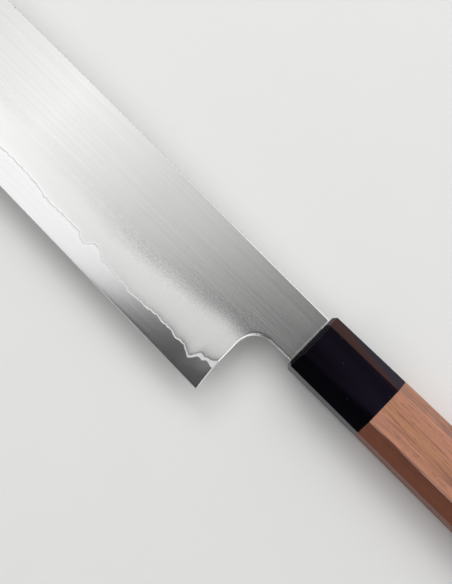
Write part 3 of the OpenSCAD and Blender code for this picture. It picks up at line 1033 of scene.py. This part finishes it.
def bright_bond(finishes):
    """Nickel-rich bond layer, left matt by the stones: it scatters light and stays bright."""
    material, tree, shader = new_material("matt_bright_bond_metal")
    # Specks that the stones leave are finer than 0.1 mm: drawn 0.4 mm wide
    speck = add(tree, "ShaderNodeTexNoise", {}, {
        "Vector": pattern_space(tree, (2200, 2600, 2600)), "Scale": 1.0, "Detail": 2.0,
    }).outputs[0]
    known = formula(tree, [("rough", "MULTIPLY_ADD", speck, 0.2, 0.52)], {})
    tone = add(tree, "ShaderNodeMix", BLEND, {
        0: speck, 6: rgba(finishes.bond, 0.9), 7: rgba(finishes.bond, 1.05),
    }).outputs[2]
    tree.links.new(tone, shader.inputs["Base Color"])
    tree.links.new(known["rough"], shader.inputs["Roughness"])
    shader.inputs["Metallic"].default_value = 1.0
    return material


def polished_horn(finishes):
    """Buffalo horn, sanded and buffed: near black and glossy, with a translucent brown streak."""
    material, tree, shader = new_material("buffed_black_horn")
    x, y, z = own_place(tree)
    known = {"x": x, "y": y, "z": z}
    for name, scale, detail in (
        # Fibres of the horn, in bundles about 1.5 mm wide and 60 mm long
        ("fibre", (16, 650, 650), 2.0),
        # Darker and paler growth of the horn, 7 mm wide
        ("slow", (20, 130, 130), 0.0),
    ):
        known[name] = add(tree, "ShaderNodeTexNoise", {}, {
            "Vector": pattern_space(tree, scale), "Scale": 1.0, "Detail": detail,
        }).outputs[0]
    formula(tree, [
        ("across", "SUBTRACT", "y", "z"),
        ("out", "ADD", "y", "z"),
        ("shift", "SUBTRACT", "slow", 0.5),
        ("across", "MULTIPLY_ADD", "shift", 0.003, "across"),
        ("slanted", "MULTIPLY_ADD", "x", 0.25, -0.005),
        ("slanted", "ADD", "across", "slanted"),
    ], known)
    for name, value, start, end, low in (
        # Where the brown streak starts and ends across its facet, and how it fades along it
        ("inner", "across", -0.0033, -0.0018, 0.0),
        ("outer", "slanted", 0.0045, 0.0015, 0.0),
        ("deep", "out", 0.0135, 0.0155, 0.0),
        ("fade", "x", 0.036, 0.022, 0.55),
        # Painted sheen: the horn is painted paler along its upper face, where the light falls on it
        ("upper", "across", -0.0165, -0.0135, 0.0),
    ):
        known[name] = add(tree, "ShaderNodeMapRange", SOFT_RAMP, {
            "Value": known[value], "From Min": start, "From Max": end, "To Min": low,
        }).outputs[0]
    formula(tree, [
        ("streak", "MULTIPLY", "inner", "outer"),
        ("streak", "MULTIPLY", "streak", "deep"),
        ("streak", "MULTIPLY", "streak", "fade"),
        ("grainy", "MULTIPLY_ADD", "fibre", 0.8, 0.4),
        ("streak", "MULTIPLY", "streak", "grainy"),
        # Paler growth bands of the horn, kept to the upper face as painted sheen
        ("pale", "MULTIPLY_ADD", "slow", 1.8, -0.35),
        ("pale", "MULTIPLY_ADD", "fibre", 0.3, "pale"),
        ("pale", "MULTIPLY", "pale", "upper"),
        ("rough", "MULTIPLY_ADD", "fibre", 0.1, 0.1),
    ], known)
    # Fine dust caught in the polish, specks of 0.2 mm some 4 mm apart
    dust = add(tree, "ShaderNodeTexVoronoi", {"feature": "F1"}, {
        "Vector": pattern_space(tree, (260, 260, 260)), "Scale": 1.0,
    })
    speck = add(tree, "ShaderNodeMapRange", {}, {
        "Value": dust.outputs["Distance"], "From Min": 0.05, "From Max": 0.03,
    }).outputs[0]
    # Shaded and lit copies of one horn: drawn darker than its colour on the other faces as painted shade,
    # and up to three times paler on the upper face as painted sheen
    shade = rgba(finishes.horn, 0.4)
    for amount, top in (
        (known["pale"], rgba(finishes.horn, 3)),
        (known["streak"], rgba(finishes.horn_streak)),
        (speck, rgba(finishes.horn_dust)),
    ):
        shade = add(tree, "ShaderNodeMix", BLEND, {0: amount, 6: shade, 7: top}).outputs[2]
    bump = add(tree, "ShaderNodeBump", {}, {
        "Strength": 0.5, "Distance": 0.0002, "Height": known["slow"],
    }).outputs[0]
    for name, value in (("Base Color", shade), ("Roughness", known["rough"]), ("Normal", bump)):
        tree.links.new(value, shader.inputs[name])
    shader.inputs["IOR"].default_value = 1.5
    shader.inputs["Specular IOR Level"].default_value = 0.13
    return material


def oiled_walnut(finishes):
    """Walnut, sanded and oiled: lengthwise figure, fine dark pores and a low sheen."""
    material, tree, shader = new_material("oiled_walnut")
    x, y, _ = own_place(tree)
    known = {"x": x, "y": y}
    for name, scale, detail in (
        # Warm and cool stretches of heartwood, 10 mm wide
        ("warmth", (9, 110, 110), 2.0),
        # Pores are 0.1 to 0.2 mm wide: drawn 0.3 mm wide, and 4 mm long
        ("pores", (240, 3200, 3200), 1.0),
        # Slower growth, whose borders carry dark veins less than 0.5 mm wide
        ("growth", (9, 230, 110), 2.0),
        # Fibres, about 0.5 mm wide and 20 mm long
        ("fibre", (50, 1900, 1900), 2.0),
    ):
        known[name] = add(tree, "ShaderNodeTexNoise", {}, {
            "Vector": pattern_space(tree, scale), "Scale": 1.0, "Detail": detail,
        }).outputs[0]
    # Growth rings about 2 mm apart, cut along the trunk
    bend = add(tree, "ShaderNodeTexNoise", {}, {
        "Vector": pattern_space(tree, (14, 90, 90)), "Scale": 1.0, "Detail": 2.0,
    }).outputs["Color"]
    ring_space = add(tree, "ShaderNodeVectorMath", {"operation": "MULTIPLY_ADD"}, {
        0: bend, 1: (0.0, 3.0, 3.0), 2: pattern_space(tree, (8, 330, 150)),
    }).outputs[0]
    known["rings"] = add(tree, "ShaderNodeTexNoise", {}, {
        "Vector": ring_space, "Scale": 1.0, "Detail": 5.0, "Roughness": 0.6,
    }).outputs[0]
    formula(tree, [
        ("vein", "SUBTRACT", "growth", 0.5),
        ("vein", "ABSOLUTE", "vein"),
        ("vein", "MULTIPLY_ADD", "vein", -45.0, 1.0),
        ("vein", "MAXIMUM", "vein", 0.0),
        ("vein", "MULTIPLY", "vein", 0.5),
        ("low", "MULTIPLY_ADD", "warmth", 0.004, "y"),
        # The lower arris of the left face runs outwards as the handle widens
        ("worn", "MULTIPLY_ADD", "x", 0.00702, "y"),
        ("worn", "ADD", "worn", 0.0069),
        ("worn", "ABSOLUTE", "worn"),
        ("worn", "MULTIPLY_ADD", "worn", -900.0, 0.4),
        ("worn", "ADD", "worn", "fibre"),
    ], known)
    for name, value, start, end, high in (
        ("streak", "rings", 0.42, 0.72, 0.8),
        ("warm", "warmth", 0.4, 0.62, 1.0),
        ("pore", "pores", 0.6, 0.72, 0.5),
        # The lower side is drawn red-brown and darker: partly the wood's darker heartwood, partly painted
        # shade on the side turned from the light
        ("corner", "low", -0.0050, -0.0055, 0.85),
        # Paler flecks along the lower arris: partly raised, worn fibres, partly a painted highlight on the
        # arris
        ("raised", "worn", 0.68, 0.92, 0.8),
    ):
        known[name] = add(tree, "ShaderNodeMapRange", SOFT_RAMP, {
            "Value": known[value], "From Min": start, "From Max": end, "To Max": high,
        }).outputs[0]
    lit = add(tree, "ShaderNodeMix", BLEND, {
        0: known["fibre"], 6: (0.8, 0.8, 0.8, 1.0), 7: (1.2, 1.2, 1.2, 1.0),
    }).outputs[2]
    shade = rgba(finishes.wood_light)
    for kind, amount, top in (
        (BLEND, known["warm"], rgba(finishes.wood_warm)),
        (BLEND, known["streak"], rgba(finishes.wood_dark)),
        (BLEND, known["vein"], rgba(finishes.wood_vein)),
        (BLEND, known["corner"], rgba(finishes.wood_corner)),
        (TINT, 1.0, lit),
        (BLEND, known["pore"], rgba(finishes.wood_pore)),
        (BLEND, known["raised"], rgba(finishes.wood_raised)),
    ):
        shade = add(tree, "ShaderNodeMix", kind, {0: amount, 6: shade, 7: top}).outputs[2]
    formula(tree, [
        ("rough", "MULTIPLY_ADD", "pore", 0.3, 0.42),
        ("sink", "MULTIPLY", "pore", -1.0),
    ], known)
    bump = add(tree, "ShaderNodeBump", {}, {
        "Strength": 0.5, "Distance": 0.00005, "Height": known["sink"],
    }).outputs[0]
    for name, value in (("Base Color", shade), ("Roughness", known["rough"]), ("Normal", bump)):
        tree.links.new(value, shader.inputs[name])
    shader.inputs["IOR"].default_value = 1.48
    return material


def plain_finish(name, base, scale, rough, spread):
    """A plain matt finish whose tone and roughness vary a little with a noise of the given scale."""
    material, tree, shader = new_material(name)
    noise = add(tree, "ShaderNodeTexNoise", {}, {
        "Vector": pattern_space(tree, scale), "Scale": 1.0, "Detail": 3.0,
    }).outputs[0]
    tone = add(tree, "ShaderNodeMix", BLEND, {
        0: noise, 6: rgba(base, 1 - spread), 7: rgba(base, 1 + spread),
    }).outputs[2]
    known = formula(tree, [("rough", "MULTIPLY_ADD", noise, 0.15, rough)], {})
    bump = add(tree, "ShaderNodeBump", {}, {"Strength": 0.3, "Distance": 0.00005, "Height": noise})
    for name, value in (
        ("Base Color", tone), ("Roughness", known["rough"]), ("Normal", bump.outputs[0]),
    ):
        tree.links.new(value, shader.inputs[name])
    return material


class KNIFE_OT_core(bpy.types.Operator):
    """Makes the core steel, which shows below the bond line and ends in the cutting edge"""
    bl_idname = "knife.core"
    bl_label = "Core steel"

    def execute(self, context):
        shape = BladeShape(context.scene.knife_blade)
        patches = blade_patches(shape)
        layer = Layer()
        for half in (1, -1):
            for name, form in (
                ("bevel", shape.bevel_face), ("strip", shape.face),
                ("band_web", level_of(shape, shape.core)), ("tang", shape.tang_level(shape.core)),
            ):
                layer.sheet(patches[name, half], form, half, half)
        mesh = layer.mesh("blade_core", shape)
        finish_piece("blade_core", mesh, ["core_steel"],
                     [polished_core(context.scene.knife_finishes, shape.bevel_height)])
        return {"FINISHED"}


class KNIFE_OT_bond_layers(bpy.types.Operator):
    """Makes the two thin bond layers, each a bright wavy line on its face"""
    bl_idname = "knife.bond_layers"
    bl_label = "Bond layers"

    def execute(self, context):
        shape = BladeShape(context.scene.knife_blade)
        patches = blade_patches(shape)
        material = bright_bond(context.scene.knife_finishes)
        for half, side in ((1, "left"), (-1, "right")):
            layer = Layer()
            layer.sheet(patches["band", half], shape.face, half, half)
            layer.sheet(patches["inner", half], level_of(shape, shape.bond), half, half)
            layer.sheet(patches["tang", half], shape.tang_level(shape.bond), half, half)
            layer.sheet(patches["band_web", half], level_of(shape, shape.core), -half, half)
            layer.sheet(patches["tang", half], shape.tang_level(shape.core), -half, half)
            name = f"{side}_bond_line"
            finish_piece(name, layer.mesh(name, shape), [f"{side}_bond_layer"], [material])
        return {"FINISHED"}


class KNIFE_OT_claddings(bpy.types.Operator):
    """Makes the soft cladding of both faces, from the bond line up to the rounded spine"""
    bl_idname = "knife.claddings"
    bl_label = "Claddings"

    def execute(self, context):
        shape = BladeShape(context.scene.knife_blade)
        patches = blade_patches(shape)
        material = satin_cladding(context.scene.knife_finishes)
        for half, side in ((1, "left"), (-1, "right")):
            layer = Layer()
            layer.sheet(patches["web", half], shape.face, half, half)
            layer.sheet(patches["tang", half], shape.tang_level(None), half, half)
            layer.sheet(patches["inner", half], level_of(shape, shape.bond), -half, half)
            layer.sheet(patches["tang", half], shape.tang_level(shape.bond), -half, half)
            name = f"{side}_cladding_face"
            finish_piece(name, layer.mesh(name, shape), [f"{side}_cladding"], [material])
        return {"FINISHED"}


# How much the sections of the octagon crowd towards its ends
CROWDING = 3.0
OCTAGON_SIZES = [
    "Start", "End", "Handle Length", "Front Height", "Butt Height", "Front Thickness",
    "Butt Thickness", "Facet Leg", "Arris Radius", "Front Bevel", "Back Bevel", "Softness",
    "Bore Start", "Bore End", "Bore Diameter", "Second Start", "Second End", "Second Width",
    "Second Thickness",
]


def tapered_octagon():
    """Node tree of a bored stretch of the tapered octagon, with bevelled ends."""
    tree = bpy.data.node_groups.new("tapered_octagon", "GeometryNodeTree")
    tree.interface.new_socket("Geometry", in_out="INPUT", socket_type="NodeSocketGeometry")
    for name in OCTAGON_SIZES:
        tree.interface.new_socket(name, in_out="INPUT", socket_type="NodeSocketFloat")
    for name, kind in (
        ("Arris Steps", "Int"), ("Stations", "Int"), ("Slotted", "Bool"), ("Place", "Vector"),
        ("Finish", "Material"),
    ):
        tree.interface.new_socket(name, in_out="INPUT", socket_type="NodeSocket" + kind)
    tree.interface.new_socket("Geometry", in_out="OUTPUT", socket_type="NodeSocketGeometry")
    given = add(tree, "NodeGroupInput").outputs
    box = add(tree, "GeometryNodeCurvePrimitiveQuadrilateral", {"mode": "RECTANGLE"}, {
        "Width": given["Front Height"], "Height": given["Front Thickness"],
    })
    eight = add(tree, "GeometryNodeFilletCurve", {"mode": "POLY"}, {
        "Curve": box.outputs[0], "Count": 1, "Radius": given["Facet Leg"],
    })
    profile = add(tree, "GeometryNodeFilletCurve", {"mode": "POLY"}, {
        "Curve": eight.outputs[0], "Count": given["Arris Steps"], "Radius": given["Arris Radius"],
    })
    path = add(tree, "GeometryNodeCurvePrimitiveLine", {"mode": "POINTS"}, {"End": (0.0, 0.0, 1.0)})
    stations = add(tree, "GeometryNodeResampleCurve", {"mode": "COUNT"}, {
        "Curve": path.outputs[0], "Count": given["Stations"],
    })
    tube = add(tree, "GeometryNodeCurveToMesh", {}, {
        "Curve": stations.outputs[0], "Profile Curve": profile.outputs[0], "Fill Caps": True,
    })
    at = add(tree, "ShaderNodeSeparateXYZ", {}, {0: add(tree, "GeometryNodeInputPosition").outputs[0]})
    known = {name: given[name] for name in OCTAGON_SIZES}
    known.update({"u": at.outputs[2], "a": at.outputs[0], "b": at.outputs[1]})
    # Stations crowd towards both ends, where the bevels are
    formula(tree, [
        ("spread", "MULTIPLY_ADD", "u", 2 * CROWDING, -CROWDING),
        ("spread", "TANH", "spread"),
        ("spread", "MULTIPLY_ADD", "spread", 0.5 / math.tanh(CROWDING), 0.5),
        ("run", "SUBTRACT", "End", "Start"),
        ("x", "MULTIPLY_ADD", "spread", "run", "Start"),
        ("front_end", "ADD", "Start", "Front Bevel"),
        ("back_end", "SUBTRACT", "End", "Back Bevel"),
        ("front", "SUBTRACT", "front_end", "x"),
        ("back", "SUBTRACT", "x", "back_end"),
        ("soft", "MULTIPLY", "Softness", "Softness"),
        ("front_root", "MULTIPLY_ADD", "front", "front", "soft"),
        ("front_root", "SQRT", "front_root"),
        ("front", "ADD", "front", "front_root"),
        ("back_root", "MULTIPLY_ADD", "back", "back", "soft"),
        ("back_root", "SQRT", "back_root"),
        ("back", "ADD", "back", "back_root"),
        ("inset", "ADD", "front", "back"),
        ("along", "DIVIDE", "x", "Handle Length"),
        ("more_h", "SUBTRACT", "Butt Height", "Front Height"),
        ("height", "MULTIPLY_ADD", "along", "more_h", "Front Height"),
        ("height", "SUBTRACT", "height", "inset"),
        ("scale_h", "DIVIDE", "height", "Front Height"),
        ("more_t", "SUBTRACT", "Butt Thickness", "Front Thickness"),
        ("thick", "MULTIPLY_ADD", "along", "more_t", "Front Thickness"),
        ("thick", "SUBTRACT", "thick", "inset"),
        ("scale_t", "DIVIDE", "thick", "Front Thickness"),
        ("y", "MULTIPLY", "a", "scale_h"),
        ("z", "MULTIPLY", "b", "scale_t"),
        ("bore_long", "SUBTRACT", "Bore End", "Bore Start"),
        ("bore_sum", "ADD", "Bore End", "Bore Start"),
        ("bore_middle", "MULTIPLY", "bore_sum", 0.5),
        ("bore_radius", "MULTIPLY", "Bore Diameter", 0.5),
        ("second_long", "SUBTRACT", "Second End", "Second Start"),
        ("second_sum", "ADD", "Second End", "Second Start"),
        ("second_middle", "MULTIPLY", "second_sum", 0.5),
        ("second_radius", "MULTIPLY", "Second Width", 0.5),
    ], known)
    place = add(tree, "ShaderNodeCombineXYZ", {}, {0: known["x"], 1: known["y"], 2: known["z"]})
    body = add(tree, "GeometryNodeSetPosition", {}, {
        "Geometry": tube.outputs[0], "Position": place.outputs[0],
    })
    cutters = {}
    for name in ("bore", "second"):
        rod = add(tree, "GeometryNodeMeshCylinder", {}, {
            "Vertices": 64, "Radius": known[name + "_radius"], "Depth": known[name + "_long"],
        })
        middle = add(tree, "ShaderNodeCombineXYZ", {}, {0: known[name + "_middle"]})
        cutters[name] = add(tree, "GeometryNodeTransform", {}, {
            "Geometry": rod.outputs[0], "Translation": middle.outputs[0],
            "Rotation": (0.0, math.pi / 2, 0.0),
        })
    slot_size = add(tree, "ShaderNodeCombineXYZ", {}, {
        0: known["second_long"], 1: given["Second Width"], 2: given["Second Thickness"],
    })
    slot = add(tree, "GeometryNodeMeshCube", {}, {"Size": slot_size.outputs[0]})
    slot_place = add(tree, "ShaderNodeCombineXYZ", {}, {0: known["second_middle"]})
    slot = add(tree, "GeometryNodeTransform", {}, {
        "Geometry": slot.outputs[0], "Translation": slot_place.outputs[0],
    })
    second = add(tree, "GeometryNodeSwitch", {"input_type": "GEOMETRY"}, {
        "Switch": given["Slotted"], "False": cutters["second"].outputs[0], "True": slot.outputs[0],
    })
    cut = body
    for cutter in (cutters["bore"], second):
        cut = add(tree, "GeometryNodeMeshBoolean", {"operation": "DIFFERENCE", "solver": "EXACT"}, {
            "Mesh 1": cut.outputs[0], "Mesh 2": cutter.outputs[0],
        })
    smooth = add(tree, "GeometryNodeSetShadeSmooth", {"domain": "FACE"}, {
        "Geometry": cut.outputs[0], "Shade Smooth": True,
    })
    angle = add(tree, "GeometryNodeInputMeshEdgeAngle")
    sharp = add(tree, "FunctionNodeCompare", {"data_type": "FLOAT", "operation": "GREATER_THAN"}, {
        0: angle.outputs[0], 1: math.radians(28),
    })
    crisp = add(tree, "GeometryNodeSetShadeSmooth", {"domain": "EDGE"}, {
        "Geometry": smooth.outputs[0], "Selection": sharp.outputs[0], "Shade Smooth": False,
    })
    placed = add(tree, "GeometryNodeTransform", {}, {
        "Geometry": crisp.outputs[0], "Translation": given["Place"],
    })
    real = add(tree, "GeometryNodeRealizeInstances", {}, {0: placed.outputs[0]})
    finish = add(tree, "GeometryNodeSetMaterial", {}, {
        "Geometry": real.outputs[0], "Material": given["Finish"],
    })
    add(tree, "NodeGroupOutput", {}, {0: finish.outputs[0]})
    return tree


# A bored octagon has at least this many faces: with fewer, a bore has swallowed it
LEAST_FACES = 500


def octagon_piece(name, sizes, nodes, material):
    """Runs the octagon tree with the given inputs and keeps its result as a plain mesh."""
    tree = bpy.data.node_groups.get("tapered_octagon") or tapered_octagon()
    maker = bpy.data.objects.new(name + "_maker", bpy.data.meshes.new(name + "_maker"))
    bpy.context.scene.collection.objects.link(maker)
    modifier = maker.modifiers.new("octagon", "NODES")
    modifier.node_group = tree
    for item in tree.interface.items_tree:
        if item.in_out == "INPUT" and item.name in sizes:
            modifier[item.identifier] = sizes[item.name]
    weighted = maker.modifiers.new("flat_facets", "WEIGHTED_NORMAL")
    weighted.keep_sharp = True
    graph = bpy.context.evaluated_depsgraph_get()
    mesh = bpy.data.meshes.new_from_object(maker.evaluated_get(graph), depsgraph=graph)
    mesh.name = name
    maker.modifiers.clear()
    bpy.data.objects.remove(maker)
    if len(mesh.polygons) < LEAST_FACES:
        raise RuntimeError(f"{name}: the octagon came out with {len(mesh.polygons)} faces")
    finish_piece(name, mesh, nodes, [material])


def octagon_sizes(handle, **own):
    """The inputs that ferrule and body share, with a part's own ones."""
    sizes = {
        "Handle Length": HANDLE_LENGTH, "Front Height": handle.height_front,
        "Butt Height": handle.height_butt, "Front Thickness": handle.thick_front,
        "Butt Thickness": handle.thick_butt, "Facet Leg": handle.facet_leg,
        "Arris Radius": handle.arris_radius, "Softness": handle.softness,
        "Arris Steps": handle.arris_steps, "Stations": handle.stations, "Place": tuple(AXIS),
        "Bore Diameter": handle.dowel_bore,
    }
    sizes.update({name.replace("_", " ").title(): value for name, value in own.items()})
    return sizes


class KNIFE_OT_ferrule(bpy.types.Operator):
    """Makes the octagonal horn ferrule, with its slot for the tang and its bore for the dowel"""
    bl_idname = "knife.ferrule"
    bl_label = "Horn ferrule"

    def execute(self, context):
        handle = context.scene.knife_handle
        material = polished_horn(context.scene.knife_finishes)
        past = FERRULE_LENGTH + 0.005
        octagon_piece("horn_ferrule", octagon_sizes(
            handle, start=0.0, end=FERRULE_LENGTH, front_bevel=handle.ferrule_bevel, back_bevel=0.0,
            bore_start=handle.ferrule_wall, bore_end=past, second_start=-0.005, second_end=past,
            second_width=handle.slot_width, second_thickness=handle.slot_thick, slotted=True,
            finish=material,
        ), ["ferrule"], material)
        return {"FINISHED"}


class KNIFE_OT_handle_body(bpy.types.Operator):
    """Makes the octagonal walnut body, with its bores for the dowel and the tang"""
    bl_idname = "knife.handle_body"
    bl_label = "Walnut body"

    def execute(self, context):
        handle = context.scene.knife_handle
        material = oiled_walnut(context.scene.knife_finishes)
        bore_end = FERRULE_LENGTH + handle.dowel_depth
        octagon_piece("walnut_body", octagon_sizes(
            handle, start=FERRULE_LENGTH, end=HANDLE_LENGTH, front_bevel=0.0,
            back_bevel=handle.butt_bevel, bore_start=FERRULE_LENGTH - 0.005, bore_end=bore_end,
            second_start=bore_end - 0.005, second_end=handle.tang_bore_end,
            second_width=handle.tang_bore, second_thickness=0.001, slotted=False, finish=material,
        ), ["handle_body"], material)
        return {"FINISHED"}


class KNIFE_OT_inner_parts(bpy.types.Operator):
    """Gives the dowel, the glue and the seal, which keep their own solids, their finishes"""
    bl_idname = "knife.inner_parts"
    bl_label = "Dowel, glue and seal"

    def execute(self, context):
        finishes = context.scene.knife_finishes
        for node, material in (
            # Turned hardwood, bare: fibres 0.4 mm wide along the dowel
            ("dowel", plain_finish("turned_bare_hardwood", finishes.dowel, (60, 2500, 2500), 0.55, 0.2)),
            # Cured epoxy resin, poured: faintly clouded in lumps of 2 mm
            ("tang_adhesive", plain_finish("cured_resin", finishes.resin, (500, 500, 500), 0.25, 0.12)),
            # Wax and resin bead, smeared flush: dark and slightly grainy
            ("slot_seal", plain_finish("wax_and_resin", finishes.seal, (2000, 2000, 2000), 0.5, 0.3)),
        ):
            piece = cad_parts[node]
            piece.data.materials.clear()
            piece.data.materials.append(material)
        return {"FINISHED"}


def studio_floor(studio):
    """Matt pale floor, seen as a white sheet where the lamps no longer reach it."""
    material = plain_finish("pale_matt_floor", studio.floor, (30, 30, 30), 0.6, 0.01)
    tree = material.node_tree
    output = next(node for node in tree.nodes if node.type == "OUTPUT_MATERIAL")
    near = output.inputs["Surface"].links[0].from_socket
    away = add(tree, "ShaderNodeVectorMath", {"operation": "LENGTH"}, {0: pattern_space(tree, (1, 1, 1))})
    far = add(tree, "ShaderNodeMapRange", SOFT_RAMP, {
        "Value": away.outputs["Value"], "From Min": 0.2, "From Max": 0.9,
    }).outputs[0]
    path = add(tree, "ShaderNodeLightPath").outputs
    known = formula(tree, [
        ("seen", "MAXIMUM", path["Is Camera Ray"], path["Is Glossy Ray"]),
        ("seen", "MAXIMUM", "seen", path["Is Transmission Ray"]),
        ("seen", "MULTIPLY", "seen", far),
    ], {})
    sheet = add(tree, "ShaderNodeEmission", {}, {"Color": rgba(studio.floor), "Strength": 1.0})
    both = add(tree, "ShaderNodeMixShader", {}, {0: known["seen"], 1: near, 2: sheet.outputs[0]})
    tree.links.new(both.outputs[0], output.inputs["Surface"])
    return material


def panel_lamp(name, width, depth, place, aim, turn, brightness):
    """A soft square panel that shines with the given brightness."""
    data = bpy.data.lights.new(name, "AREA")
    data.shape = "RECTANGLE"
    data.size = width
    data.size_y = depth
    data.energy = brightness * math.pi * width * depth
    lamp = bpy.data.objects.new(name, data)
    bpy.context.scene.collection.objects.link(lamp)
    place = Vector(place) + AXIS
    toward = (Vector(aim) + AXIS - place).normalized()
    lamp.matrix_world = (
        Matrix.Translation(place) @ toward.to_track_quat("-Z", "Y").to_matrix().to_4x4()
        @ Matrix.Rotation(math.radians(turn), 4, "Z")
    )


def studio_room(studio):
    """World of pale walls beyond the spine and the handle, and dim ones elsewhere."""
    world = bpy.data.worlds.new("studio_room")
    world.use_nodes = True
    tree = world.node_tree
    tree.nodes.clear()
    way = add(tree, "ShaderNodeTexCoord").outputs["Generated"]
    toward = add(tree, "ShaderNodeVectorMath", {"operation": "DOT_PRODUCT"}, {
        0: way, 1: (0.8, 0.45, -0.35),
    })
    pale = add(tree, "ShaderNodeMapRange", SOFT_RAMP, {
        "Value": toward.outputs["Value"], "From Min": 0.0, "From Max": 0.12,
    })
    # The ceiling is dim, and low on the horizon the walls are pale all round
    height = add(tree, "ShaderNodeSeparateXYZ", {}, {0: way}).outputs[2]
    below = add(tree, "ShaderNodeMapRange", SOFT_RAMP, {
        "Value": height, "From Min": 0.6, "From Max": 0.4,
    })
    low = add(tree, "ShaderNodeMapRange", SOFT_RAMP, {
        "Value": height, "From Min": 0.09, "From Max": 0.03,
    })
    wall = formula(tree, [
        ("side", "MULTIPLY", pale.outputs[0], below.outputs[0]),
        ("wall", "MAXIMUM", "side", low.outputs[0]),
    ], {})["wall"]
    walls = add(tree, "ShaderNodeMix", BLEND, {
        0: wall, 6: rgba(studio.dim_wall), 7: rgba(studio.pale_wall),
    })
    light = add(tree, "ShaderNodeBackground", {}, {"Color": walls.outputs[2], "Strength": 1.0})
    add(tree, "ShaderNodeOutputWorld", {}, {"Surface": light.outputs[0]})
    return world


def studio_camera(studio):
    """Camera at its given place, looking its given way."""
    data = bpy.data.cameras.new("camera")
    data.sensor_width = 36.0
    data.lens = studio.lens
    data.clip_start = 0.01
    camera = bpy.data.objects.new("camera", data)
    bpy.context.scene.collection.objects.link(camera)
    forward = Vector(studio.camera_forward).normalized()
    right = forward.cross(Vector(studio.camera_up)).normalized()
    up = right.cross(forward)
    turn = Matrix((right, up, -forward)).transposed().to_4x4()
    camera.matrix_world = Matrix.Translation(Vector(studio.camera_place) + AXIS) @ turn
    return camera


# The floor reaches this far each way, in metres
FLOOR_REACH = 4.0


class KNIFE_OT_studio(bpy.types.Operator):
    """Sets up the plain floor, the soft lamps, the pale room and the camera"""
    bl_idname = "knife.studio"
    bl_label = "Studio"

    def execute(self, context):
        studio = context.scene.knife_studio
        mesh = bpy.data.meshes.new("floor")
        corners = [(x * FLOOR_REACH, y * FLOOR_REACH, 0) for x, y in ((-1, -1), (1, -1), (1, 1), (-1, 1))]
        mesh.from_pydata(corners, [], [(0, 1, 2, 3)])
        floor = bpy.data.objects.new("floor", mesh)
        context.scene.collection.objects.link(floor)
        mesh.materials.append(studio_floor(studio))
        floor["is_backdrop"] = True
        # Four panels hang a metre above the floor, round a gap that the blade near the neck mirrors
        for name, width, depth, x, y, turn, brightness in (
            ("tip_panel", 1.5, 2.2, -0.855, 0.33, -20, studio.tip_power),
            ("spine_panel", 1.6, 1.1, 0.55, 0.97, 0, studio.spine_power),
            ("butt_panel", 1.6, 0.85, 1.08, -0.02, 0, studio.butt_power),
            ("edge_panel", 0.9, 0.8, -0.6, -0.9, 0, studio.edge_power),
        ):
            panel_lamp(name, width, depth, (x, y, 1), (x, y, 0), turn, brightness)
        panel_lamp("key_lamp", 0.5, 0.5, (-1.15, 0.5, 0.95), (0, 0, 0), 0, studio.key_power)
        context.scene.world = studio_room(studio)
        context.scene.camera = studio_camera(studio)
        context.scene.view_settings.view_transform = "Standard"
        return {"FINISHED"}


OPERATORS = (
    KNIFE_OT_core, KNIFE_OT_bond_layers, KNIFE_OT_claddings, KNIFE_OT_ferrule, KNIFE_OT_handle_body,
    KNIFE_OT_inner_parts, KNIFE_OT_studio,
)
GROUPS = {
    "knife_blade": KnifeBladeSizes, "knife_handle": KnifeHandleSizes,
    "knife_finishes": KnifeFinishes, "knife_studio": KnifeStudio,
}


class VIEW3D_PT_knife(bpy.types.Panel):
    """Lists the knife's pieces and its sizes"""
    bl_label = "Kiritsuke knife"
    bl_space_type = "VIEW_3D"
    bl_region_type = "UI"
    bl_category = "Knife"

    def draw(self, context):
        for operator in OPERATORS:
            self.layout.operator(operator.bl_idname)
        for attribute, group in GROUPS.items():
            box = self.layout.box()
            for name in group.__annotations__:
                box.prop(getattr(context.scene, attribute), name)


def register():
    for kind in (*GROUPS.values(), *OPERATORS, VIEW3D_PT_knife):
        bpy.utils.register_class(kind)
    for attribute, group in GROUPS.items():
        setattr(bpy.types.Scene, attribute, PointerProperty(type=group))


def unregister():
    for attribute in GROUPS:
        delattr(bpy.types.Scene, attribute)
    for kind in (VIEW3D_PT_knife, *OPERATORS, *GROUPS.values()):
        bpy.utils.unregister_class(kind)


def main():
    register()
    for operator in OPERATORS:
        group, name = operator.bl_idname.split(".")
        getattr(getattr(bpy.ops, group), name)()
    boxes = {"cad": cad_box, "visual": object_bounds()}
    plain = {name: [[float(v) for v in corner] for corner in box] for name, box in boxes.items()}


if __name__ == "__main__":
    main()
